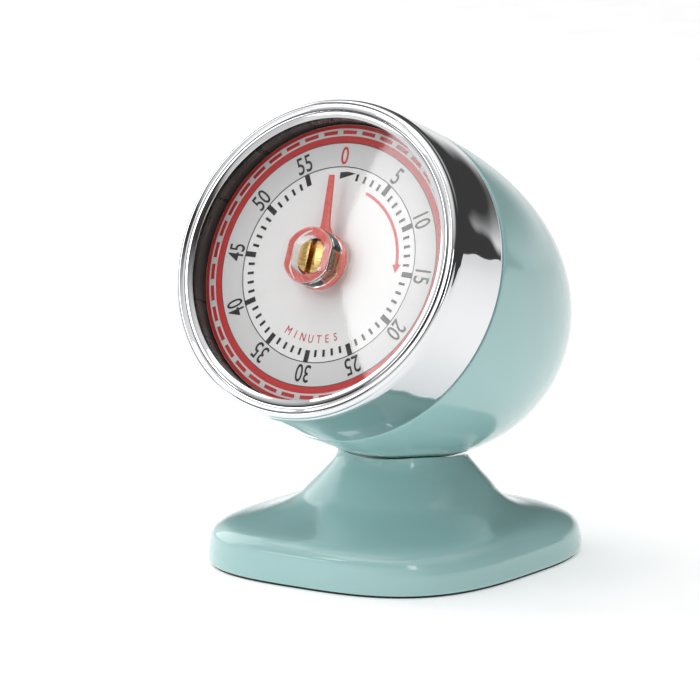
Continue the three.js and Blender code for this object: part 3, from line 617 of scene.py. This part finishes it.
def under_head(x, y, gap):
    """Height at which a point rises into the head's outside, kept clear by a gap."""
    to_head = HEAD.inverted()
    low, high = 10 * MM, 40 * MM
    for _ in range(40):
        middle = (low + high) / 2
        point = to_head @ Vector((x, y, middle))
        depth = max(0.0, -point.z) / (SHELL_LENGTH + gap)
        reach = math.hypot(point.x, point.y) / (SEAM_RADIUS + gap)
        if reach ** SHELL_POWER + depth ** SHELL_POWER > 1:
            low = middle
        else:
            high = middle
    return low


def loft(name, rings, segments=STAND_ROUND, ends="bridged"):
    """A closed skin over rings of points, each ring extruded from the one before and reshaped."""
    deselect()
    bpy.ops.mesh.primitive_circle_add(vertices=segments, radius=MM, location=(0, 0, 0))
    piece = named(bpy.context.object, name)
    bpy.ops.object.mode_set(mode="EDIT")
    bpy.ops.mesh.select_all(action="SELECT")
    for _ in rings[1:]:
        bpy.ops.mesh.extrude_edges_move(TRANSFORM_OT_translate={"value": (0, 0, MM)})
    bpy.ops.object.mode_set(mode="OBJECT")
    vertices = piece.data.vertices
    for vertex in vertices:
        level = round(vertex.co.z / MM)
        angle = math.atan2(vertex.co.y, vertex.co.x)
        vertex.co = rings[level](angle)
    bpy.ops.object.mode_set(mode="EDIT")
    close_ends(ends)
    return seat(piece)


def section_ring(half_x, half_y, z, centre, drop=None):
    """A rounded-square ring, in millimetres; drop caps its height under the head."""
    def at(angle):
        reach = section_reach(half_x * MM, half_y * MM, angle)
        x = reach * math.cos(angle)
        y = centre * MM + reach * math.sin(angle)
        height = z * MM if drop is None else min(z * MM, under_head(x, y, NECK_GAP) - drop * MM)
        return Vector((x, y, height))
    return at


class TIMER_OT_stand(bpy.types.Operator):
    """Pressed stand: rounded-square foot, soft shoulder, flare and the neck that carries the head"""

    bl_idname = "timer.stand"
    bl_label = "Stand"

    def execute(self, context):
        rings = []
        for half_x, half_y, z, centre in stand_sections():
            rings.append(section_ring(half_x, half_y, z, centre, drop=NECK_ROUND / MM))
        neck_x, neck_y, neck_z, neck_centre = STAND_SECTIONS[-1]
        for inset, rise in arc((0, 0), NECK_ROUND / MM, 0, 90, 4)[1:]:
            inset = NECK_ROUND / MM - inset
            drop = NECK_ROUND / MM - rise
            rings.append(section_ring(neck_x - inset, neck_y - inset, neck_z, neck_centre, drop))
        for half in (10.5, 8.0, 5.5, 3.4, 2.4):
            rings.append(section_ring(half, half, neck_z, neck_centre, drop=0.0))
        rings.append(section_ring(2.4, 2.4, HOLLOW[0][2], neck_centre))
        for half_x, half_y, z, centre in HOLLOW:
            rings.append(section_ring(half_x, half_y, z, centre))
        body = loft("painted_stand", rings)
        bosses = []
        for x, y in BOSS_PLACES:
            profile = in_mm([(1.2, 2.7), (3.2, 2.7), (3.2, 7.8), (1.2, 7.8)])
            boss = turned("screw_boss", profile, 48)
            bosses.append(seat(boss, Matrix.Translation((x * MM, y * MM, 0))))
        whole = joined("painted_stand", [body, *bosses])
        dressed(whole, "mint_enamel", "root", "mint_enamel", "stand_body")
        return {"FINISHED"}


class TIMER_OT_foot(bpy.types.Operator):
    """Rubber pad glued under the foot, with softened edges"""

    bl_idname = "timer.foot"
    bl_label = "Foot pad"

    def execute(self, context):
        half_x, half_y = PAD_HIGH.x / MM, PAD_HIGH.y / MM
        top, low = PAD_HIGH.z / MM, PAD_LOW.z / MM
        edge = 0.12
        sections = [(half_x - 1.4, low + 0.06), (half_x - 1.3, low), (half_x - edge, low)]
        sections += [(half_x, low + edge), (half_x, top - edge), (half_x - edge, top), (half_x - 3, top)]
        along = half_y - half_x
        rings = [section_ring(half, half + along, z, 0.0) for half, z in sections]
        pad = loft("foot_rubber", rings, ends="filled")
        dressed(pad, "black_rubber", "root", "black_rubber", "foot_pad")
        return {"FINISHED"}


# ------------------------------------------------------------------ bezel

class TIMER_OT_bezel(bpy.types.Operator):
    """Spun chrome bezel: a slightly barrelled wall, a rolled front bead, and a lip over the lens"""

    bl_idname = "timer.bezel"
    bl_label = "Chrome bezel"

    def execute(self, context):
        top = BEZEL_HIGH.z / MM
        back = BEZEL_LOW.z / MM
        under = top - 1.2
        wall = [(33.0, under), (33.0, back + 0.2), (33.2, back), (34.3, back)]
        wall += arc((34.25, back + 0.25), 0.25, -70, 0, 4)
        barrel = [(34.5, 0.8), (34.58, 4.6), (34.53, 9.5), (34.48, 13.0), (34.36, top - 2.5)]
        shoulder = [barrel[-1], (34.2, top - 1.7), (33.98, top - 1.15)]
        wall += smoothed(barrel, 6)[1:] + smoothed(shoulder, 4)[1:]
        bead = arc((33.0, top - 0.95), 0.95, 5, 125, 14)
        lip = smoothed(
            [(32.2, top - 0.3), (31.6, top - 0.18), (30.9, top - 0.28), (30.2, top - 0.52)], 4
        )
        lip += arc((30.25, top - 0.7), 0.2, 130, 230, 4)
        ring = turned("polished_bezel", in_mm(wall + bead + lip + [(30.4, under + 0.1)]))
        seat(ring, HEAD)
        dressed(ring, "chrome", "setting_dial", "chrome", "chrome_bezel")
        return {"FINISHED"}


# ------------------------------------------------------------------ lens and pointer

class TIMER_OT_lens(bpy.types.Operator):
    """Clear lens with its moulded knob, which has two flats and a flat-sided bore for the shaft"""

    bl_idname = "timer.lens"
    bl_label = "Lens and knob"

    def execute(self, context):
        sizes = context.scene.timer_sizes
        back, tip = LENS_LOW.z, LENS_HIGH.z
        disc = turned(
            "lens_disc",
            [(LENS_HIGH.x, back), (LENS_HIGH.x, back + LENS_THICK)],
            ends="filled",
        )
        rounded_edges(disc, SHEET_ROUND)
        knob_outline = in_mm(double_flat(KNOB_RADIUS, KNOB_FLAT))
        knob = extruded("lens_knob", knob_outline, back + KNOB_ROOT, tip)
        rounded_edges(knob, sizes.boss_round, 4, math.radians(60))
        cut(disc, knob, "UNION")
        bore_outline = in_mm(double_flat(KNOB_BORE_RADIUS, KNOB_BORE_FLAT))
        bore = extruded("lens_bore", bore_outline, back - MM, tip + MM)
        lens = cut(named(disc, "clear_lens"), bore)
        seat(lens, HEAD)
        dressed(lens, "clear_plastic", "setting_dial", "clear_plastic", "lens")
        for face in lens.data.polygons:
            if face.area > FLAT_FACE:
                face.use_smooth = False
        return {"FINISHED"}


class TIMER_OT_pointer(bpy.types.Operator):
    """Red pointer: a tapered hand that flares into a round hub under the knob"""

    bl_idname = "timer.pointer"
    bl_label = "Pointer"

    def execute(self, context):
        back, front = POINTER_LOW.z, POINTER_HIGH.z
        outline = [(0.62, 18.4), (-0.62, 18.4), (-0.95, 9.0), (-1.15, 7.4), (-1.6, 6.5)]
        start = math.degrees(math.atan2(5.9, -1.9))
        outline += arc((0, 0), HUB_RADIUS, start, start + 360 - 2 * (start - 90), 72)
        outline += [(1.6, 6.5), (1.15, 7.4), (0.95, 9.0)]
        hand = extruded("pointer_hand", in_mm(outline), back, front)
        rounded_edges(hand, FINE_ROUND, 3, math.radians(50))
        bore_outline = in_mm(double_flat(SHAFT_RADIUS + HUB_GAP, SHAFT_FLAT + HUB_GAP))
        bore = extruded("pointer_bore", bore_outline, back - MM, front + MM)
        cut(hand, bore)
        turn = Matrix.Rotation(math.radians(POINTER_TURN), 4, "Z")
        seat(hand, HEAD @ turn)
        dressed(hand, "pointer_red", "setting_dial", "pointer_red", "pointer")
        return {"FINISHED"}


class TIMER_OT_shaft(bpy.types.Operator):
    """Brass winding shaft with two flats and a screwdriver slot across its end"""

    bl_idname = "timer.shaft"
    bl_label = "Winding shaft"

    def execute(self, context):
        tip, back = ARBOR_HIGH.z, ARBOR_LOW.z
        stem_radius = 2.5 * MM
        pivot = 1.2 * MM
        stem = turned(
            "shaft_stem",
            [(pivot, back), (pivot, back + pivot), (stem_radius, back + pivot),
             (stem_radius, SHAFT_END_BACK + MM)],
            96,
            ends="filled",
        )
        end_outline = in_mm(double_flat(SHAFT_RADIUS, SHAFT_FLAT))
        end = extruded("shaft_end", end_outline, SHAFT_END_BACK, tip)
        slot_outline = [(-SLOT_HALF, -5), (SLOT_HALF, -5), (SLOT_HALF, 5), (-SLOT_HALF, 5)]
        slot = extruded("shaft_slot", in_mm(slot_outline), tip - SLOT_DEPTH, tip + MM)
        cut(end, slot)
        rounded_edges(end, FINE_ROUND, 3, math.radians(50))
        shaft = joined("brass_shaft", [stem, end])
        seat(shaft, HEAD)
        dressed(shaft, "brass", "setting_dial", "brass", "main_arbor")
        return {"FINISHED"}


# ------------------------------------------------------------------ dial

class TIMER_OT_dial(bpy.types.Operator):
    """Dial card on its dark drum"""

    bl_idname = "timer.dial"
    bl_label = "Dial card and drum"

    def execute(self, context):
        bore = DIAL_HOLE * MM
        card = turned("dial_card", [
            (bore, DIAL_LOW.z), (DIAL_RADIUS, DIAL_LOW.z), (DIAL_RADIUS, DIAL_FACE), (bore, DIAL_FACE),
        ])
        rounded_edges(card, 0.08 * MM, 2)
        seat(card, HEAD)
        dressed(card, "dial_print", "root", "dial_print", "dial_plate")
        low, high = DRUM_LOW.z / MM, DRUM_HIGH.z / MM
        profile = [
            (30.4, low), (32.8, low), (32.8, low + 1), (31.3, low + 1), (31.3, high),
            (30.4, high), (30.4, WEB_FRONT), (DIAL_HOLE, WEB_FRONT), (DIAL_HOLE, WEB_BACK),
            (30.4, WEB_BACK),
        ]
        drum = turned("dark_drum", in_mm(profile))
        rounded_edges(drum, SHEET_ROUND, 2)
        for angle in SCREW_ANGLES:
            x = SCREW_CIRCLE * math.cos(math.radians(angle))
            y = SCREW_CIRCLE * math.sin(math.radians(angle))
            hole = turned("screw_hole", in_mm([(1.2, 9), (1.2, 11)]), 32, ends="filled")
            cut(drum, seat(hole, Matrix.Translation((x * MM, y * MM, 0))))
        seat(drum, HEAD)
        dressed(drum, "black_enamel", "root", "black_enamel", "dial_drum")
        return {"FINISHED"}


def flat_ring(name, inner, outer, low, high):
    return turned(name, [(inner, low), (outer, low), (outer, high), (inner, high)])


def sector(name, inner, outer, start, end, low, high, steps):
    """A piece of a flat ring between two clock angles."""
    outline = [clock(outer, start + (end - start) * i / steps) for i in range(steps + 1)]
    outline += [clock(inner, end - (end - start) * i / steps) for i in range(steps + 1)]
    return extruded(name, outline, low, high)


def turned_copy(piece, degrees):
    """A copy of a piece with its own mesh, turned clockwise on the dial."""
    copy = piece.copy()
    copy.data = piece.data.copy()
    bpy.context.scene.collection.objects.link(copy)
    copy.data.transform(Matrix.Rotation(-math.radians(degrees), 4, "Z"))
    return copy


def lettered(text, height, narrow, place, low, high, weight=0.0):
    """Raised print of a text, centred on a place on the dial with its top outwards or as turned."""
    deselect()
    bpy.ops.object.text_add(location=(0, 0, 0))
    letters = bpy.context.object
    letters.data.body = text
    letters.data.align_x = "CENTER"
    letters.data.resolution_u = 6
    letters.data.extrude = 0.5
    letters.data.offset = weight
    bpy.ops.object.convert(target="MESH")
    letters = bpy.context.object
    points = [vertex.co for vertex in letters.data.vertices]
    bottom, top = min(p.y for p in points), max(p.y for p in points)
    left, right = min(p.x for p in points), max(p.x for p in points)
    share = height / (top - bottom)
    centre = Matrix.Translation((-(left + right) / 2, -(top + bottom) / 2, 0))
    size = Matrix.Diagonal((share * narrow, share, high - low, 1))
    rise = Matrix.Translation((0, 0, (low + high) / 2))
    letters.data.transform(place @ rise @ size @ centre)
    only(letters)
    bpy.ops.object.mode_set(mode="EDIT")
    bpy.ops.mesh.select_all(action="SELECT")
    bpy.ops.mesh.remove_doubles(threshold=WELD)
    bpy.ops.mesh.normals_make_consistent(inside=False)
    bpy.ops.object.mode_set(mode="OBJECT")
    return letters


def on_dial(radius, degrees, upright=0.0):
    """Where a letter stands on the dial, at a clock angle, turned by upright more degrees."""
    x, y = clock(radius, degrees)
    return Matrix.Translation((x, y, 0)) @ Matrix.Rotation(math.radians(upright - degrees), 4, "Z")


class TIMER_OT_ring_print(bpy.types.Operator):
    """Red ring of the dial with its pale track and red dashes, and the grey band inside it, which is
    painted shade from the rim
    """

    bl_idname = "timer.ring_print"
    bl_label = "Ring print"

    def execute(self, context):
        sizes = context.scene.timer_sizes
        ink = sizes.print_height
        base = DIAL_FACE + INK_LIFT
        # Painted shade: this grey band under the numerals stands in for the rim's shade on the dial card.
        band = flat_ring("rim_shade_band_and_track", sizes.scale_radius, sizes.ring_inner, base, base + ink)
        red = flat_ring("red_ring", sizes.ring_inner, DIAL_RADIUS - 0.1 * MM, base, base + 1.2 * ink)
        track = flat_ring("pale_track", 27.5 * MM, 29.1 * MM, base + ink, base + 2 * ink)
        dash = sector(
            "red_dash", 27.9 * MM, 28.7 * MM, -3.35, 3.35, base + 1.5 * ink, base + 3 * ink, 6
        )
        dashes = [turned_copy(dash, FIRST_DASH + 360 * i / DASH_COUNT) for i in range(1, DASH_COUNT)]
        dash.data.transform(Matrix.Rotation(-math.radians(FIRST_DASH), 4, "Z"))
        edge = flat_ring(
            "ring_hairline", sizes.ring_inner - 0.07 * MM, sizes.ring_inner + 0.07 * MM,
            base + ink, base + 2 * ink,
        )
        for piece, finish in (
            (joined("rim_shade_band_and_track", [band, track]), "rim_shade_band_and_track"),
            (joined("red_ring", [red, dash, *dashes]), "red_print"),
            (edge, "black_print"),
        ):
            seat(piece, HEAD)
            dressed(piece, finish, "root", "dial_print")
        return {"FINISHED"}


class TIMER_OT_scale_print(bpy.types.Operator):
    """Minute marks from zero to fifty-five, the thin circle over them, and the numerals"""

    bl_idname = "timer.scale_print"
    bl_label = "Scale print"

    def execute(self, context):
        sizes = context.scene.timer_sizes
        low = DIAL_FACE + INK_LIFT
        high = low + 2 * sizes.print_height
        circle = flat_ring(
            "scale_circle", sizes.scale_radius - 0.1 * MM, sizes.scale_radius + 0.1 * MM, low, high
        )
        short = extruded("minute_mark", in_mm(
            [(-0.28, 18.2), (0.28, 18.2), (0.28, 19.7), (-0.28, 19.7)]
        ), low, high)
        tall = extruded("five_minute_mark", in_mm(
            [(-0.56, 18.35), (0.56, 18.35), (0.56, 20.85), (-0.56, 20.85)]
        ), low, high)
        marks = [
            turned_copy(tall if minute % 5 == 0 else short, 6 * minute)
            for minute in range(1, LAST_MINUTE + 1)
        ]
        bpy.data.objects.remove(short)
        bpy.data.objects.remove(tall)
        corners = ((18.3, -7), (19.75, 4.2), (19.9, -1.5), (19.75, -7))
        outline = [clock(radius * MM, angle) for radius, angle in corners]
        wedge = extruded("zero_wedge", outline, low, high)
        numerals = [
            lettered(str(minute), sizes.numeral_height, NUMERAL_NARROW,
                     on_dial(sizes.numeral_radius, 6 * minute), low, high, LETTER_WEIGHT)
            for minute in range(5, LAST_MINUTE + 1, 5)
        ]
        piece = joined("scale_and_numerals", [circle, *marks, wedge, *numerals])
        seat(piece, HEAD)
        dressed(piece, "black_print", "root", "dial_print")
        return {"FINISHED"}


class TIMER_OT_red_print(bpy.types.Operator):
    """Red zero, the arrow that shows which way to wind, and the word under the centre"""

    bl_idname = "timer.red_print"
    bl_label = "Red print"

    def execute(self, context):
        sizes = context.scene.timer_sizes
        low = DIAL_FACE + INK_LIFT
        high = low + 2 * sizes.print_height
        zero = lettered(
            "0", sizes.numeral_height, NUMERAL_NARROW, on_dial(sizes.numeral_radius, -5.5), low, high,
            LETTER_WEIGHT,
        )
        shaft = sector("wind_arrow", 16.3 * MM, 16.95 * MM, 17.7, 84.5, low, high, 40)
        tip = extruded("arrow_tip", [
            clock(15.55 * MM, 83.5), clock(17.7 * MM, 83.5), clock(16.62 * MM, 89.8)
        ], low, high)
        letters = []
        for i, letter in enumerate(WORD):
            angle = 180 - WORD_SPREAD * (i - (len(WORD) - 1) / 2)
            place = on_dial(sizes.word_radius, angle, 180)
            letters.append(lettered(letter, sizes.word_height, WORD_NARROW, place, low, high))
        piece = joined("red_marks", [zero, shaft, tip, *letters])
        seat(piece, HEAD)
        dressed(piece, "red_print", "root", "dial_print")
        return {"FINISHED"}


# ------------------------------------------------------------------ movement and hidden parts

METAL_NODES = {
    "brass": (
        "front_plate", "back_plate", "great_wheel", "second_wheel", "third_wheel", "escape_wheel",
        "strike_wheel", "balance_wheel", "hammer_head",
    ),
    "bell_nickel": ("bell",),
    "spring_steel": ("mainspring",),
    "black_plastic": ("base_plate", "lens_ring"),
}


class TIMER_OT_movement(bpy.types.Operator):
    """Finishes of the wheels, arbors, plates, screws and bell inside the case"""

    bl_idname = "timer.movement"
    bl_label = "Movement finishes"

    def execute(self, context):
        finish_of = {node: finish for finish, names in METAL_NODES.items() for node in names}
        for name, node in frame["nodes"].items():
            if node.hide_render:
                continue
            node.data.materials.clear()
            node.data.materials.append(FINISHES[finish_of.get(name, "steel")])
        return {"FINISHED"}


# ------------------------------------------------------------------ stage

CAMERA_TURN = 34.69
CAMERA_RISE = 11.7
CAMERA_DISTANCE = 1.8117
CAMERA_LENS = 445.1
TARGET = Vector((0, 0, 0.0444))
SIDE_STEP = -0.0096
DOWN_STEP = -0.00023
FLOOR_SIZE = 12
FLOOR_DROP = 0.00002
FLOOR_GLOW = 0.35


def floor_finish():
    """White paper floor, lit a little from below as a light table is."""
    material = surface("pale floor", (0.85, 0.85, 0.85), 0.6, tone=0.003, blotch=1.5, grain=60)
    shader = material.node_tree.nodes["Principled BSDF"]
    shader.inputs["Specular IOR Level"].default_value = 0.2
    shader.inputs["Emission Color"].default_value = (1, 1, 1, 1)
    shader.inputs["Emission Strength"].default_value = FLOOR_GLOW
    return material


# Name, shape, direction from the timer, distance, width, height and brightness of each softbox.
LAMPS = (
    ("window", "DISK", (-0.4009, -0.7475, 0.524), 0.4515, 0.112, 0.112, 3.4),
    ("left_panel", "RECTANGLE", (-1, 0.05, 0.5), 0.9, 0.7, 0.7, 1.25),
    ("top_panel", "RECTANGLE", (-0.2, -0.1, 1), 1.0, 0.9, 0.9, 1.15),
    ("right_panel", "RECTANGLE", (0.71, -0.577, 0.404), 0.9, 0.16, 0.4, 4.0),
    ("front_box", "RECTANGLE", (-0.56, -0.80, 0.17), 0.8, 0.24, 0.13, 2.0),
)
SWEEP_EDGE = math.radians(20)
SWEEP_LIGHT = 0.9
LEFT_LIGHT = 0.9
CEILING_LIGHT = 0.9
FRONT_LIGHT = 0.7
ROOM_LIGHT = 0.05


def sums(tree, operation, first, second):
    """A Math node on two sockets or numbers."""
    node = tree.nodes.new("ShaderNodeMath")
    node.operation = operation
    for socket, value in zip(node.inputs, (first, second)):
        if isinstance(value, (int, float)):
            socket.default_value = value
        else:
            tree.links.new(value, socket)
    return node.outputs[0]


def ramped(tree, value, start, end):
    """A smooth step from 0 at start to 1 at end."""
    node = tree.nodes.new("ShaderNodeMapRange")
    node.interpolation_type = "SMOOTHSTEP"
    node.inputs["From Min"].default_value = start
    node.inputs["From Max"].default_value = end
    tree.links.new(value, node.inputs["Value"])
    return node.outputs["Result"]


def softbox(name, shape, direction, distance, width, height, bright, about=TARGET):
    """A soft lamp that faces the timer from a direction."""
    place = about + Vector(direction).normalized() * distance
    bpy.ops.object.light_add(type="AREA", location=place)
    lamp = bpy.context.object
    lamp.name = name
    lamp.data.shape = shape
    lamp.data.size = width
    area = width * height
    if shape == "RECTANGLE":
        lamp.data.size_y = height
    else:
        area *= math.pi / 4
    lamp.data.energy = bright * math.pi * area
    lamp.rotation_euler = (about - place).to_track_quat("-Z", "Y").to_euler()
    return lamp


class TIMER_OT_stage(bpy.types.Operator):
    """Pale floor, soft studio lamps and the camera"""

    bl_idname = "timer.stage"
    bl_label = "Stage"

    def execute(self, context):
        deselect()
        bpy.ops.mesh.primitive_plane_add(size=FLOOR_SIZE, location=(0, 0, -FLOOR_DROP))
        floor = named(bpy.context.object, "floor")
        floor.data.materials.append(floor_finish())
        for lamp in LAMPS:
            softbox(*lamp)
        self.world(context)
        self.camera(context)
        context.scene.view_settings.view_transform = "Standard"
        return {"FINISHED"}

    def world(self, context):
        """A studio round the timer: white sweep low behind and to the left, soft light above and low in
        front, dark room elsewhere. The camera itself sees plain white."""
        world = bpy.data.worlds.new("studio")
        context.scene.world = world
        world.use_nodes = True
        tree = world.node_tree
        way = tree.nodes.new("ShaderNodeSeparateXYZ")
        tree.links.new(tree.nodes.new("ShaderNodeTexCoord").outputs["Generated"], way.inputs["Vector"])
        across, along, up = way.outputs
        turned_away = sums(tree, "SUBTRACT", sums(tree, "MULTIPLY", across, math.cos(SWEEP_EDGE)),
                           sums(tree, "MULTIPLY", along, math.sin(SWEEP_EDGE)))
        on_sweep = sums(tree, "SUBTRACT", 1.0, ramped(tree, turned_away, -0.04, 0.04))
        low_down = sums(tree, "SUBTRACT", 1.0, ramped(tree, up, 0.02, 0.2))
        sweep = sums(tree, "MULTIPLY", sums(tree, "MULTIPLY", on_sweep, low_down), SWEEP_LIGHT)
        left_wall = sums(tree, "MULTIPLY", ramped(tree, across, -0.6, -0.85), LEFT_LIGHT)
        ceiling = sums(tree, "MULTIPLY", ramped(tree, up, 0.45, 0.9), CEILING_LIGHT)
        near_floor = sums(tree, "SUBTRACT", 1.0, ramped(tree, up, 0.2, 0.38))
        front = sums(tree, "MULTIPLY", ramped(tree, along, -0.2, -0.7), FRONT_LIGHT)
        front = sums(tree, "MULTIPLY", front, near_floor)
        bright = sums(tree, "MAXIMUM", sums(tree, "MAXIMUM", sweep, left_wall), ceiling)
        bright = sums(tree, "MAXIMUM", bright, front)
        bright = sums(tree, "MAXIMUM", bright, ROOM_LIGHT)
        seen = tree.nodes.new("ShaderNodeLightPath").outputs["Is Camera Ray"]
        bright = sums(tree, "MAXIMUM", bright, seen)
        tree.links.new(bright, tree.nodes["Background"].inputs["Strength"])
        tree.nodes["Background"].inputs["Color"].default_value = (1, 1, 1, 1)

    def camera(self, context):
        turn, rise = math.radians(CAMERA_TURN), math.radians(CAMERA_RISE)
        back = Vector((math.sin(turn) * math.cos(rise), -math.cos(turn) * math.cos(rise), math.sin(rise)))
        right = Vector((math.cos(turn), math.sin(turn), 0))
        up = back.cross(right)
        target = TARGET + right * SIDE_STEP + up * DOWN_STEP
        bpy.ops.object.camera_add(location=target + back * CAMERA_DISTANCE)
        camera = bpy.context.object
        camera.rotation_euler = Matrix((right, up, back)).transposed().to_euler()
        camera.data.lens = CAMERA_LENS
        camera.data.sensor_width = 36
        camera.data.clip_end = 50
        context.scene.camera = camera


# ------------------------------------------------------------------ panel and start

STEPS = (
    TIMER_OT_head_shell, TIMER_OT_stand, TIMER_OT_foot, TIMER_OT_bezel, TIMER_OT_lens,
    TIMER_OT_pointer, TIMER_OT_shaft, TIMER_OT_dial, TIMER_OT_ring_print, TIMER_OT_scale_print,
    TIMER_OT_red_print, TIMER_OT_movement, TIMER_OT_stage,
)


class VIEW3D_PT_timer(bpy.types.Panel):
    """Lists the steps that build the timer, with its sizes and colours"""

    bl_label = "Kitchen timer"
    bl_idname = "VIEW3D_PT_timer"
    bl_space_type = "VIEW_3D"
    bl_region_type = "UI"
    bl_category = "Timer"

    def draw(self, context):
        column = self.layout.column()
        for step in STEPS:
            column.operator(step.bl_idname)
        for group in (context.scene.timer_sizes, context.scene.timer_colours):
            for name in group.__annotations__:
                column.prop(group, name)


CLASSES = (TimerSizes, TimerColours, *STEPS, VIEW3D_PT_timer)


def register():
    for item in CLASSES:
        bpy.utils.register_class(item)
    bpy.types.Scene.timer_sizes = bpy.props.PointerProperty(type=TimerSizes)
    bpy.types.Scene.timer_colours = bpy.props.PointerProperty(type=TimerColours)


def unregister():
    del bpy.types.Scene.timer_colours
    del bpy.types.Scene.timer_sizes
    for item in reversed(CLASSES):
        bpy.utils.unregister_class(item)


def main():
    register()
    make_finishes(bpy.context.scene.timer_colours)
    for step in STEPS:
        group, call = step.bl_idname.split(".")
        getattr(getattr(bpy.ops, group), call)()


if __name__ == "__main__":
    main()
